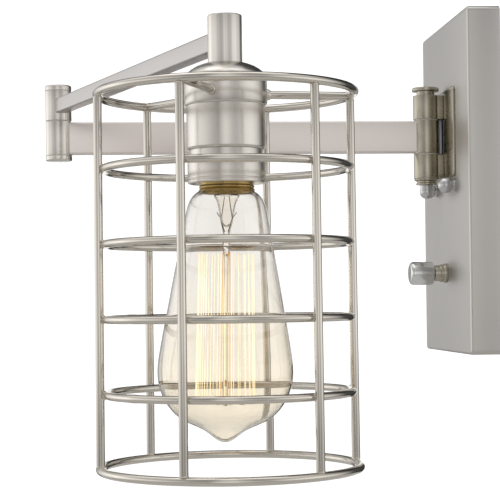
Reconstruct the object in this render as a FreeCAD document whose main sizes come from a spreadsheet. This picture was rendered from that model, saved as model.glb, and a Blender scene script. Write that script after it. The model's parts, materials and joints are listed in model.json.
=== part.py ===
import FreeCAD, Part
import Sketcher
import math
import os
import re

# Swing arm wall sconce: a wall pan with a pinned hinge, two arms with an elbow between them,
# and a socket cup that carries a round wire cage about a filament bulb.
# Millimetres, +Z up. The wall is the plane y = 0, the room is on its -Y side, and the origin
# is on the wall behind the middle of the pan.

V = FreeCAD.Vector
UP = V(0, 0, 1)

DIMENSIONS = {
    # wall pan and its fixings
    "plate_width": 130,
    "plate_height": 208,
    "plate_depth": 20,
    "plate_sheet": 1.2,
    "plate_corner": 3,
    "plate_edge": 0.9,
    "bar_length": 108,
    "bar_height": 17,
    "bar_thick": 1.8,
    "box_screw_spacing": 88.9,
    "box_screw_hole": 2.3,
    "stud_offset": 26,
    "stud_radius": 2,
    "stud_clearance": 0.5,
    "cap_nut_radius": 4.9,
    "cap_nut_collar": 1.6,
    "ground_offset": 12,
    # wall hinge
    "hinge_standoff": 12,
    "hinge_base_width": 60,
    "hinge_base_thick": 1.5,
    "hinge_base_drop": 0.5,
    "hinge_base_rise": 2.4,
    "base_screw_reach": 19,
    "lead_drop": 18,
    "lead_hole_offset": 8.5,
    "lead_inside_pan": 4,
    "lead_grommet_gap": 1.6,
    "barrel_radius": 8,
    "hinge_barrel_length": 21,
    "barrel_slot_width": 4.8,
    "barrel_slot_low": 3,
    "barrel_slot_high": 12,
    "knuckle_length": 15.2,
    "knuckle_neck_width": 9,
    "washer_thick": 0.6,
    "pin_radius": 3,
    "pin_neck_radius": 5.6,
    "pin_neck_length": 1.5,
    "pin_head_radius": 8.6,
    "pin_head_thick": 3.5,
    "pin_collar_length": 3.9,
    "acorn_radius": 4.5,
    "acorn_length": 8.9,
    "running_gap": 0.05,
    "lead_radius": 0.9,
    "lead_bend": 2.2,
    # rotary switch
    "switch_drop": 54,
    "switch_radius": 9.5,
    "switch_length": 15,
    "bushing_radius": 4.2,
    "bushing_nut_radius": 5.3,
    "bushing_nut_length": 5,
    "knob_gap": 2.2,
    "knob_radius": 7.3,
    "knob_length": 16.6,
    "knob_edge": 1.7,
    "shaft_radius": 2,
    "shaft_seat": 6,
    "connector_offset": 24,
    "left_connector_drop": 26,
    "right_connector_drop": 30,
    "connector_mouth": 5,
    "connector_tip": 3.2,
    "connector_length": 19,
    "lead_entry": 1.5,
    "lead_tail": 9,
    "lead_straight": 3,
    "switch_terminal_offset": 5,
    "switch_lead_sink": 0.8,
    # first arm and elbow
    "arm1_span": 231.6,
    "arm1_level": 32.3,
    "arm1_height": 20,
    "arm1_width": 8,
    "arm1_wall": 1.2,
    "arm_edge": 1,
    "arm1_window_height": 6,
    "arm2_window_height": 4,
    "window_width": 4,
    "elbow_bottom": 18.3,
    "elbow_seam": 42.7,
    "elbow_gap": 0.5,
    "elbow_top": 65.1,
    "elbow_cap_thick": 3.4,
    "elbow_cap_edge": 0.9,
    "elbow_land": 4,
    "elbow_bore": 6.6,
    "nipple_radius": 4.7,
    "nipple_bore": 3.2,
    "nut_height": 3.2,
    "nut_corner_gap": 0.1,
    # second arm and lamp-end barrel
    "arm2_span": 263.7,
    "arm2_heading": 18.7,
    "arm2_level": 52,
    "arm2_height": 9,
    "arm2_width": 8,
    "arm2_wall": 1,
    "lamp_barrel_bottom": 40.9,
    "lamp_barrel_top": 63.4,
    # socket cup
    "dome_rim_level": 37.9,
    "dome_rim_radius": 16.2,
    "skirt_radius": 19.4,
    "skirt_top": 34.2,
    "skirt_bottom": 20.9,
    "cup_radius": 18.4,
    "cup_wall": 1,
    "cup_bottom": 0.4,
    "lower_cup_radius": 18.2,
    "lower_cup_top": -3.4,
    "lower_cup_bottom": -15.1,
    "socket_radius": 16.2,
    "socket_top": 26,
    "socket_bottom": -13.4,
    "shell_radius": 13.9,
    "shell_sheet": 0.45,
    "lead_spread": 1.6,
    # wire cage
    "cage_top_radius": 59.8,
    "cage_bottom_radius": 60.5,
    "cage_ring_radius": 57.4,
    "cage_top_level": 26.5,
    "cage_ring_pitch": 34.7,
    "cage_wire": 2,
    "ring_wire": 1.85,
    "spoke_wire": 1.9,
    "rod_heading": -23.9,
    # bulb
    "bulb_radius": 32,
    "bulb_neck_level": -18.6,
    "bulb_tip_level": -135.5,
    "bulb_glass": 0.9,
    "base_radius": 13,
    "base_crest": 0.65,
    "base_pitch": 3.6,
    "base_top": 4.4,
    "contact_level": 8,
    "stem_radius": 2.1,
    "filament_top": -48,
    "filament_bottom": -118,
    "filament_radius": 0.3,
    "filament_circle": 13,
}

ROD_COUNT = 6
RING_COUNT = 6
SPOKE_COUNT = 3
FILAMENT_COUNT = 16
THREAD_TURNS = 5

HINGE_Y = "(0 - plate_depth - hinge_standoff)"
ELBOW_Y = "(0 - plate_depth - hinge_standoff - arm1_span)"
LAMP_X = "arm2_span * cos(arm2_heading * 1 deg)"
LAMP_Y = "(0 - plate_depth - hinge_standoff - arm1_span + arm2_span * sin(arm2_heading * 1 deg))"
HINGE_LOW = "(arm1_level - hinge_barrel_length / 2)"
HINGE_HIGH = "(arm1_level + hinge_barrel_length / 2)"
UPPER_KNUCKLE = f"({HINGE_HIGH} + washer_thick)"
LOWER_KNUCKLE = f"({HINGE_LOW} - washer_thick - knuckle_length)"
BORE = "(pin_radius + running_gap)"

# The blown bulb's outline as (share of the largest radius, share of the length from the neck).
GLASS_OUTLINE = [
    (0.40, 0.0),
    (0.535, 0.03),
    (0.60, 0.10),
    (0.79, 0.37),
    (0.96, 0.64),
    (1.0, 0.725),
    (0.89, 0.845),
    (0.60, 0.92),
    (0.30, 0.957),
    (0.16, 0.985),
    (0.0, 1.0),
]

os.makedirs("parts", exist_ok=True)
doc = FreeCAD.newDocument("swing_arm_sconce")
parts = []


# ---------------------------------------------------------------- sheet and small helpers

def make_sheet():
    """Put the driving dimensions in a spreadsheet, one alias to a row."""
    table = doc.addObject("Spreadsheet::Sheet", "Dims")
    for row, (alias, value) in enumerate(DIMENSIONS.items(), 1):
        table.set(f"A{row}", alias)
        table.set(f"B{row}", str(value))
        table.setAlias(f"B{row}", alias)
    doc.recompute()
    return table


sheet = make_sheet()


def formula(text):
    """Point the alias names in a formula at the sheet."""
    return re.sub(r"[a-z]\w*", lambda word: "Dims." + word[0] if word[0] in DIMENSIONS else word[0], text)


def size(text):
    """The number that a formula gives."""
    return float(sheet.evalExpression(formula(text)))


def bind(item, prop, text):
    """Tie a property to the sheet."""
    item.setExpression(prop, formula(text))


def place(item, x="0", y="0", z="0", turn=FreeCAD.Rotation()):
    """Stand an object at a point given by formulas, turned first."""
    item.Placement = FreeCAD.Placement(V(size(x), size(y), size(z)), turn)
    for axis, text in zip("xyz", (x, y, z)):
        if text != "0":
            bind(item, "Placement.Base." + axis, text)
    return item


def node(item, label):
    """Name an object as a sub-part that is written out."""
    item.Label = label
    parts.append(item)
    return item


TO_ROOM = FreeCAD.Rotation(V(1, 0, 0), 90)


def about_z(degrees):
    return FreeCAD.Rotation(UP, degrees)


# ---------------------------------------------------------------- sketches and features

def origin_plane(body, role):
    return next(item for item in body.Origin.OriginFeatures if item.Role == role)


def new_sketch(body, role, lift="0"):
    """A sketch on one of the body's own planes, lifted along the plane's normal."""
    sketch = body.newObject("Sketcher::SketchObject", body.Name + "_sketch")
    sketch.AttachmentSupport = [(origin_plane(body, role), "")]
    sketch.MapMode = "FlatFace"
    if lift != "0":
        bind(sketch, "AttachmentOffset.Base.z", lift)
    return sketch


def pin_point(sketch, item, spot, across, up):
    """Fix a point of the sketch at coordinates given by formulas."""
    for kind, axis, text in (("DistanceX", -2, across), ("DistanceY", -1, up)):
        if text == "0":
            sketch.addConstraint(Sketcher.Constraint("PointOnObject", item, spot, axis))
        else:
            index = sketch.addConstraint(Sketcher.Constraint(kind, item, spot, size(text)))
            bind(sketch, f"Constraints[{index}]", text)


def outline(sketch, corners):
    """A closed outline of straight lines through corners given as pairs of formulas."""
    spots = [V(size(across), size(up), 0) for across, up in corners]
    first = sketch.GeometryCount
    for number, spot in enumerate(spots):
        sketch.addGeometry(Part.LineSegment(spot, spots[(number + 1) % len(spots)]), False)
    for number, (across, up) in enumerate(corners):
        following = first + (number + 1) % len(corners)
        sketch.addConstraint(Sketcher.Constraint("Coincident", first + number, 2, following, 1))
        pin_point(sketch, first + number, 1, across, up)


def rectangle(sketch, left, right, low, high):
    outline(sketch, [(left, low), (right, low), (right, high), (left, high)])


def circle(sketch, across, up, radius):
    item = sketch.addGeometry(Part.Circle(V(size(across), size(up), 0), UP, size(radius)), False)
    pin_point(sketch, item, 3, across, up)
    index = sketch.addConstraint(Sketcher.Constraint("Radius", item, size(radius)))
    bind(sketch, f"Constraints[{index}]", radius)


def pad(body, sketch, length):
    feature = body.newObject("PartDesign::Pad", body.Name + "_pad")
    feature.Profile = sketch
    bind(feature, "Length", length)
    return feature


def pocket(body, sketch, length=None, towards_normal=False):
    """Cut a sketch out of the body, right through it if no length is given."""
    feature = body.newObject("PartDesign::Pocket", body.Name + "_pocket")
    feature.Profile = sketch
    feature.Reversed = towards_normal
    if length is None:
        feature.Type = "ThroughAll"
    else:
        bind(feature, "Length", length)
    return feature


def round_edges(body, radius, wanted):
    """Round the edges of the body's last feature that pass the test."""
    doc.recompute()
    base = body.Tip
    names = [f"Edge{number}" for number, edge in enumerate(base.Shape.Edges, 1) if wanted(edge)]
    feature = body.newObject("PartDesign::Fillet", body.Name + "_rounds")
    feature.Base = (base, names)
    bind(feature, "Radius", radius)


def is_ring(edge, radius, level):
    """True for a full circle of a given radius at a given height."""
    curve = edge.Curve
    if not isinstance(curve, Part.Circle):
        return False
    return abs(curve.Radius - size(radius)) < 1e-4 and abs(curve.Center.z - size(level)) < 1e-4


def new_body(label):
    return node(doc.addObject("PartDesign::Body", label), label)


def turned(label, corners):
    """A piece turned about Z, from its half section as (radius, height) formulas."""
    body = new_body(label)
    sketch = new_sketch(body, "XZ_Plane")
    outline(sketch, corners)
    feature = body.newObject("PartDesign::Revolution", label + "_turning")
    feature.Profile = sketch
    feature.ReferenceAxis = (sketch, ["V_Axis"])
    return body


def ring(label, inner, outer, low, high):
    """A plain turned ring."""
    return turned(label, [(inner, low), (outer, low), (outer, high), (inner, high)])


def cylinder(radius, height):
    item = doc.addObject("Part::Cylinder", "round_bar")
    bind(item, "Radius", radius)
    bind(item, "Height", height)
    return item


def cut(base, tool):
    item = doc.addObject("Part::Cut", "cut")
    item.Base = base
    item.Tool = tool
    return item


def group(label, items):
    """Separate identical pieces kept as one sub-part."""
    item = node(doc.addObject("Part::Compound", label), label)
    item.Links = items
    return item


def barrel_nut():
    """The six-sided nut that fits inside a barrel, standing on z = 0."""
    blank = doc.addObject("Part::Prism", "nut_blank")
    blank.Polygon = 6
    bind(blank, "Circumradius", "elbow_bore - nut_corner_gap")
    bind(blank, "Height", "nut_height")
    return cut(blank, cylinder("nipple_radius", "nut_height"))


def bent_path(points, radius):
    """Straight runs through the points, joined by tangent arcs of one radius."""
    edges = []
    start = points[0]
    for before, corner, after in zip(points, points[1:], points[2:]):
        into = (corner - before).normalize()
        out = (after - corner).normalize()
        half_turn = into.getAngle(out) / 2
        setback = radius * math.tan(half_turn)
        arc_start = corner - into * setback
        arc_end = corner + out * setback
        middle = corner + (out - into).normalize() * (radius / math.cos(half_turn) - radius)
        edges.append(Part.LineSegment(start, arc_start).toShape())
        edges.append(Part.Arc(arc_start, middle, arc_end).toShape())
        start = arc_end
    edges.append(Part.LineSegment(start, points[-1]).toShape())
    return Part.Wire(edges)


def wire_shape(points, radius, bend):
    """Round wire bent along the points, in numbers."""
    section = Part.Wire(Part.makeCircle(radius, points[0], points[1] - points[0]))
    return bent_path(points, bend).makePipeShell([section], True, False)


def straight_wire(start, end, radius):
    return Part.makeCylinder(radius, (end - start).Length, start, end - start)


def shaped(label, shape):
    """A sub-part whose shape comes straight from the modelling functions."""
    item = node(doc.addObject("Part::Feature", label), label)
    item.Shape = shape
    return item


# ---------------------------------------------------------------- wall pan and fixings

def backplate_pan():
    """The shallow pressed pan against the wall, open at the back."""
    body = new_body("backplate_pan")
    sketch = new_sketch(body, "XZ_Plane")
    half_width = "plate_width / 2"
    half_height = "plate_height / 2"
    rectangle(sketch, f"0 - {half_width}", half_width, f"0 - {half_height}", half_height)
    pad(body, sketch, "plate_depth")
    round_edges(body, "plate_corner", lambda edge: abs(edge.tangentAt(edge.FirstParameter).y) > 0.9)
    front = -size("plate_depth")
    round_edges(body, "plate_edge", lambda edge: abs(edge.CenterOfMass.y - front) < 1e-4)

    hollow = new_sketch(body, "XZ_Plane")
    inner_width = "(plate_width / 2 - plate_sheet)"
    inner_height = "(plate_height / 2 - plate_sheet)"
    rectangle(hollow, f"0 - {inner_width}", inner_width, f"0 - {inner_height}", inner_height)
    pocket(body, hollow, "plate_depth - plate_sheet", True)

    holes = new_sketch(body, "XZ_Plane")
    circle(holes, "stud_offset", "0", "stud_radius + stud_clearance")
    circle(holes, "0 - stud_offset", "0", "stud_radius + stud_clearance")
    circle(holes, "0", "0 - switch_drop", "bushing_radius + running_gap")
    circle(holes, "0", "arm1_level + lead_hole_offset", "lead_radius + lead_grommet_gap")
    for sign in "-+":
        circle(holes, "0", f"arm1_level {sign} base_screw_reach", "pin_radius / 2 + running_gap")
    pocket(body, holes, None, True)


def mounting_bar():
    """The strap that screws to the wall box, with its threaded studs and ground screw."""
    body = new_body("mounting_bar")
    sketch = new_sketch(body, "XZ_Plane")
    rectangle(sketch, "0 - bar_length / 2", "bar_length / 2", "0 - bar_height / 2", "bar_height / 2")
    pad(body, sketch, "bar_thick")
    round_edges(body, "plate_corner", lambda edge: abs(edge.tangentAt(edge.FirstParameter).y) > 0.9)
    holes = new_sketch(body, "XZ_Plane")
    for sign in "-+":
        circle(holes, f"0 {sign} stud_offset", "0", "stud_radius + running_gap")
        circle(holes, f"0 {sign} box_screw_spacing / 2", "0", "box_screw_hole")
    circle(holes, "ground_offset", "0", "stud_radius + running_gap")
    pocket(body, holes, None, True)

    studs = []
    nuts = []
    for sign in "-+":
        side = f"0 {sign} stud_offset"
        stud = cylinder("stud_radius", "plate_depth + cap_nut_radius")
        studs.append(place(stud, side, "0", "0", TO_ROOM))
        nuts.append(cap_nut(side))
    group("mounting_studs", studs)
    group("cap_nuts", nuts)

    screw = turned("ground_screw", [
        ("0", "0"),
        ("stud_radius", "0"),
        ("stud_radius", "bar_thick + 0.2"),
        ("2 * stud_radius", "bar_thick + 0.2"),
        ("2 * stud_radius", "bar_thick + 2.2"),
        ("0", "bar_thick + 2.2"),
    ])
    place(screw, "ground_offset", "0", "0", TO_ROOM)


def cap_nut(side):
    """A ball-shaped nut on a thin collar, bored from the back for its stud."""
    ball = doc.addObject("Part::Sphere", "nut_ball")
    bind(ball, "Radius", "cap_nut_radius")
    place(ball, side, "0 - plate_depth - cap_nut_radius - 0.6")
    collar = cylinder("cap_nut_radius * 0.9", "cap_nut_collar")
    place(collar, side, "0 - plate_depth", "0", TO_ROOM)
    solid = doc.addObject("Part::Fuse", "nut_blank")
    solid.Base = ball
    solid.Tool = collar
    bore = cylinder("stud_radius + running_gap", "cap_nut_radius + 0.4")
    place(bore, side, "0 - plate_depth", "0", TO_ROOM)
    return cut(solid, bore)


# ---------------------------------------------------------------- wall hinge

def hinge_base():
    """The flat foot of the hinge on the face of the pan, with its two screws from inside."""
    body = new_body("hinge_base")
    sketch = new_sketch(body, "XZ_Plane")
    half = "hinge_base_width / 2"
    low = f"{LOWER_KNUCKLE} - hinge_base_drop"
    high = f"{UPPER_KNUCKLE} + knuckle_length + hinge_base_rise"
    rectangle(sketch, f"0 - {half}", half, low, high)
    pad(body, sketch, "hinge_base_thick")
    round_edges(body, "plate_corner", lambda edge: abs(edge.tangentAt(edge.FirstParameter).y) > 0.9)
    holes = new_sketch(body, "XZ_Plane")
    circle(holes, "0", "arm1_level + lead_hole_offset", "lead_radius + 0.3")
    for sign in "-+":
        circle(holes, "0", f"arm1_level {sign} base_screw_reach", "pin_radius / 2 + running_gap")
    pocket(body, holes, None, True)
    place(body, "0", "0 - plate_depth")

    screws = []
    for sign in "-+":
        level = f"arm1_level {sign} base_screw_reach"
        shank = place(cylinder("pin_radius / 2", "plate_sheet + hinge_base_thick"),
                      "0", "0 - plate_depth + plate_sheet", level, TO_ROOM)
        head = place(cylinder("pin_radius", "2"), "0", "0 - plate_depth + plate_sheet + 2", level, TO_ROOM)
        screw = doc.addObject("Part::Fuse", "screw")
        screw.Base = shank
        screw.Tool = head
        screws.append(screw)
    group("hinge_screws", screws)


def knuckle(label, level):
    """A hinge knuckle: a short barrel on a neck that reaches back to the foot."""
    body = new_body(label)
    barrel = new_sketch(body, "XY_Plane")
    circle(barrel, "0", "0", "barrel_radius")
    pad(body, barrel, "knuckle_length")
    neck = new_sketch(body, "XY_Plane")
    half = "knuckle_neck_width / 2"
    rectangle(neck, f"0 - {half}", half, "pin_radius + 1", "hinge_standoff - hinge_base_thick")
    pad(body, neck, "knuckle_length")
    bore = new_sketch(body, "XY_Plane", "knuckle_length")
    circle(bore, "0", "0", BORE)
    pocket(body, bore)
    place(body, "0", HINGE_Y, level)


def hinge_pin():
    """The headed hinge pin, the collar and acorn nut under it, and the two nylon washers."""
    bottom = f"{LOWER_KNUCKLE} - pin_collar_length - acorn_length + 3"
    shoulder = f"{UPPER_KNUCKLE} + knuckle_length"
    neck_top = f"{shoulder} + pin_neck_length"
    head_top = f"{neck_top} + pin_head_thick"
    pin = turned("hinge_pin", [
        ("0", bottom),
        ("pin_radius", bottom),
        ("pin_radius", shoulder),
        ("pin_neck_radius", shoulder),
        ("pin_neck_radius", neck_top),
        ("pin_head_radius - 0.5", neck_top),
        ("pin_head_radius", f"{neck_top} + 0.5"),
        ("pin_head_radius", f"{head_top} - 0.5"),
        ("pin_head_radius - 0.5", head_top),
        ("0", head_top),
    ])
    place(pin, "0", HINGE_Y)

    collar_low = f"{LOWER_KNUCKLE} - pin_collar_length"
    collar = turned("hinge_collar", [
        (BORE, collar_low),
        ("barrel_radius - 1.2", collar_low),
        ("barrel_radius - 1.2", f"{collar_low} + 0.9"),
        ("barrel_radius - 1.9", f"{collar_low} + 1.3"),
        ("barrel_radius - 1.9", f"{collar_low} + 2.2"),
        ("barrel_radius - 0.2", LOWER_KNUCKLE),
        (BORE, LOWER_KNUCKLE),
    ])
    place(collar, "0", HINGE_Y)

    nut_low = f"{collar_low} - acorn_length"
    acorn = turned("hinge_acorn_nut", [
        ("0", nut_low),
        ("acorn_radius * 0.5", f"{nut_low} + 0.5"),
        ("acorn_radius * 0.85", f"{nut_low} + 2.1"),
        ("acorn_radius", f"{nut_low} + 4.2"),
        ("acorn_radius * 0.92", f"{nut_low} + 6.2"),
        ("acorn_radius * 0.92", collar_low),
        (BORE, collar_low),
        (BORE, f"{bottom} - running_gap"),
        ("0", f"{bottom} - running_gap"),
    ])
    place(acorn, "0", HINGE_Y)

    washers = []
    for level in (f"{HINGE_LOW} - washer_thick", f"{HINGE_HIGH} + running_gap"):
        blank = cylinder("barrel_radius - 0.4", "washer_thick - running_gap")
        hole = cylinder(BORE, "washer_thick - running_gap")
        washers.append(place(cut(blank, hole), "0", HINGE_Y, level))
    group("hinge_washers", washers)


def hinge_lead():
    """The lead that leaves the pan and runs down behind the hinge barrel, across its slot."""
    depth = size("hinge_standoff - barrel_radius - hinge_base_thick")
    middle = size("0 - hinge_standoff + barrel_radius") + depth / 2
    level = size("arm1_level + lead_hole_offset")
    bend = size("lead_radius") * 1.25
    points = [
        V(0, size("plate_sheet + lead_inside_pan"), level),
        V(0, middle, level),
        V(0, middle, level - size("lead_drop")),
    ]
    lead = shaped("hinge_lead", wire_shape(points, size("lead_radius"), bend))
    place(lead, "0", "0 - plate_depth")


# ---------------------------------------------------------------- rotary switch

def rotary_switch():
    """The switch inside the pan, its ring nut on the face, and the knob on its shaft."""
    face = "plate_depth"
    body_low = "plate_depth - plate_sheet - switch_length"
    bushing_top = "plate_depth + bushing_nut_length + knob_gap - 0.4"
    switch = turned("switch_body", [
        ("shaft_radius + running_gap", "plate_depth - plate_sheet - 4"),
        ("0", "plate_depth - plate_sheet - 4"),
        ("0", body_low),
        ("switch_radius", body_low),
        ("switch_radius", "plate_depth - plate_sheet"),
        ("bushing_radius", "plate_depth - plate_sheet"),
        ("bushing_radius", bushing_top),
        ("shaft_radius + running_gap", bushing_top),
    ])
    place(switch, "0", "0", "0 - switch_drop", TO_ROOM)
    nut = turned("switch_ring_nut", [
        ("bushing_radius", face),
        ("bushing_nut_radius", face),
        ("bushing_nut_radius", f"{face} + bushing_nut_length - 0.5"),
        ("bushing_nut_radius - 0.5", f"{face} + bushing_nut_length"),
        ("bushing_radius", f"{face} + bushing_nut_length"),
    ])
    place(nut, "0", "0", "0 - switch_drop", TO_ROOM)

    knob_low = f"{face} + bushing_nut_length + knob_gap"
    knob_high = f"({knob_low} + knob_length)"
    knob = turned("switch_knob", [
        ("shaft_radius", knob_low),
        ("knob_radius", knob_low),
        ("knob_radius", knob_high),
        ("0", knob_high),
        ("0", f"{knob_high} - shaft_seat"),
        ("shaft_radius", f"{knob_high} - shaft_seat"),
    ])
    round_edges(knob, "knob_edge", lambda edge: is_ring(edge, "knob_radius", knob_high))
    round_edges(knob, "knob_edge / 2", lambda edge: is_ring(edge, "knob_radius", knob_low))
    place(knob, "0", "0", "0 - switch_drop", TO_ROOM)
    shaft = turned("switch_shaft", [
        ("0", "plate_depth - plate_sheet - 3.5"),
        ("shaft_radius", "plate_depth - plate_sheet - 3.5"),
        ("shaft_radius", f"{knob_high} - shaft_seat"),
        ("0", f"{knob_high} - shaft_seat"),
    ])
    place(shaft, "0", "0", "0 - switch_drop", TO_ROOM)


def pan_wiring():
    """Two twist-on connectors and the short leads between the switch and the hinge."""
    cones = []
    for side, level in (("0 - connector_offset", "0 - left_connector_drop"),
                        ("connector_offset", "0 - right_connector_drop")):
        cone = doc.addObject("Part::Cone", "twist_connector")
        bind(cone, "Radius1", "connector_mouth")
        bind(cone, "Radius2", "connector_tip")
        bind(cone, "Height", "connector_length")
        cones.append(place(cone, side, "0 - plate_depth / 2", level))
    group("wire_connectors", cones)

    mid = -size("plate_depth") / 2
    offset = size("connector_offset")
    leads = []
    for inward, drop in ((1, "left_connector_drop"), (-1, "right_connector_drop")):
        mouth = inward * (size("lead_entry") - offset)
        terminal = -inward * size("switch_terminal_offset")
        points = [
            V(mouth, mid, -size(drop)),
            V(mouth, mid, -size(drop) - size("lead_tail")),
            V(terminal, mid, size("switch_radius - switch_drop + lead_straight")),
            V(terminal, mid, size("switch_radius - switch_drop - switch_lead_sink")),
        ]
        leads.append(wire_shape(points, size("lead_radius"), size("lead_bend")))
    shaped("switch_leads", Part.makeCompound(leads))


# ---------------------------------------------------------------- arms and elbow

def window(body, half_width, low, high, towards_room):
    """Cut a wire window through one wall of a barrel."""
    sketch = new_sketch(body, "XZ_Plane")
    rectangle(sketch, f"0 - {half_width}", half_width, low, high)
    pocket(body, sketch, None, towards_room)


def arm_window(body, level, height, towards_room):
    """The window through which the leads pass from an arm into a barrel."""
    window(body, "window_width / 2", f"{level} - {height} / 2", f"{level} + {height} / 2", towards_room)


def hinge_barrel():
    """The barrel of the first arm between the two knuckles."""
    barrel = ring("hinge_barrel", BORE, "barrel_radius", HINGE_LOW, HINGE_HIGH)
    slot_low = f"{HINGE_LOW} + barrel_slot_low"
    slot_high = f"{HINGE_LOW} + barrel_slot_high"
    window(barrel, "barrel_slot_width / 2", slot_low, slot_high, False)
    arm_window(barrel, "arm1_level", "arm1_window_height", True)
    place(barrel, "0", HINGE_Y)


def arm_tube(label, width, height, wall, span, level):
    """A rectangular tube along -Y, its ends coped to the barrels at both ends of its span."""
    body = new_body(label)
    sketch = new_sketch(body, "XZ_Plane")
    side = f"{width} / 2"
    low = f"{level} - {height} / 2"
    high = f"{level} + {height} / 2"
    rectangle(sketch, f"0 - {side}", side, low, high)
    pad(body, sketch, span)
    round_edges(body, "arm_edge", lambda edge: abs(edge.tangentAt(edge.FirstParameter).y) > 0.9)
    inside = new_sketch(body, "XZ_Plane")
    rectangle(inside, f"0 - {side} + {wall}", f"{side} - {wall}", f"{low} + {wall}", f"{high} - {wall}")
    pocket(body, inside, None, True)
    cope = new_sketch(body, "XY_Plane", "elbow_top")
    circle(cope, "0", "0", "barrel_radius")
    circle(cope, "0", f"0 - {span}", "barrel_radius")
    pocket(body, cope)
    return body


def first_arm():
    tube = arm_tube("arm1_tube", "arm1_width", "arm1_height", "arm1_wall", "arm1_span", "arm1_level")
    place(tube, "0", HINGE_Y)


def elbow_cap(label, face, outer_end, y_turn):
    """A turned end cap: a visible disc with a rounded rim and a plug inside the barrel."""
    cap = turned(label, [
        ("0", "0"),
        ("barrel_radius", "0"),
        ("barrel_radius", "elbow_cap_thick - 0.35"),
        ("barrel_radius - 0.35", "elbow_cap_thick"),
        ("elbow_bore", "elbow_cap_thick"),
        ("elbow_bore", "elbow_cap_thick + 2.4"),
        ("0", "elbow_cap_thick + 2.4"),
    ])
    round_edges(cap, "elbow_cap_edge", lambda edge: is_ring(edge, "barrel_radius", "0"))
    place(cap, "0", ELBOW_Y, outer_end, FreeCAD.Rotation(V(1, 0, 0), y_turn))


def elbow():
    """The elbow: two barrels on a hollow nipple, with a nylon washer and a nut in each barrel."""
    lower_low = "elbow_bottom + elbow_cap_thick"
    lower = turned("elbow_lower_barrel", [
        ("elbow_bore", lower_low),
        ("barrel_radius", lower_low),
        ("barrel_radius", "elbow_seam"),
        ("nipple_radius + running_gap", "elbow_seam"),
        ("nipple_radius + running_gap", "elbow_seam - elbow_land"),
        ("elbow_bore", "elbow_seam - elbow_land"),
    ])
    arm_window(lower, "arm1_level", "arm1_window_height", False)
    place(lower, "0", ELBOW_Y)
    elbow_cap("elbow_bottom_cap", lower_low, "elbow_bottom", 0)
    washer = ring("elbow_washer", "nipple_radius + running_gap", "barrel_radius - 0.4",
                  "elbow_seam", "elbow_seam + elbow_gap - running_gap")
    place(washer, "0", ELBOW_Y)

    upper_low = "elbow_seam + elbow_gap"
    upper = turned("elbow_upper_barrel", [
        ("nipple_radius", upper_low),
        ("barrel_radius", upper_low),
        ("barrel_radius", "elbow_top - elbow_cap_thick"),
        ("elbow_bore", "elbow_top - elbow_cap_thick"),
        ("elbow_bore", f"{upper_low} + elbow_land - 1"),
        ("nipple_radius", f"{upper_low} + elbow_land - 1"),
    ])
    arm_window(upper, "arm2_level", "arm2_window_height", True)
    place(upper, "0", ELBOW_Y, "0", about_z(size("arm2_heading") + 90))
    elbow_cap("elbow_top_cap", "elbow_top", "elbow_top", 180)

    nipple = ring("elbow_nipple", "nipple_bore", "nipple_radius",
                  "elbow_seam - elbow_land - 4", f"{upper_low} + elbow_land + 2.6")
    place(nipple, "0", ELBOW_Y)
    nuts = []
    for level in ("elbow_seam - elbow_land - 3.3", f"{upper_low} + elbow_land - 1"):
        nuts.append(place(barrel_nut(), "0", ELBOW_Y, level))
    group("elbow_nuts", nuts)


def second_arm():
    turn = about_z(size("arm2_heading") + 90)
    tube = arm_tube("arm2_tube", "arm2_width", "arm2_height", "arm2_wall", "arm2_span", "arm2_level")
    place(tube, "0", ELBOW_Y, "0", turn)

    barrel = turned("lamp_barrel", [
        ("nipple_radius", "lamp_barrel_bottom"),
        ("barrel_radius", "lamp_barrel_bottom"),
        ("barrel_radius", "lamp_barrel_top - 0.5"),
        ("barrel_radius - 0.5", "lamp_barrel_top"),
        ("0", "lamp_barrel_top"),
        ("0", "lamp_barrel_top - 2"),
        ("elbow_bore", "lamp_barrel_top - 2"),
        ("elbow_bore", "lamp_barrel_bottom + 3"),
        ("nipple_radius", "lamp_barrel_bottom + 3"),
    ])
    arm_window(barrel, "arm2_level", "arm2_window_height", False)
    place(barrel, LAMP_X, LAMP_Y, "0", turn)


# ---------------------------------------------------------------- socket cup

def at_lamp(item, level="0"):
    return place(item, LAMP_X, LAMP_Y, level)


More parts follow.
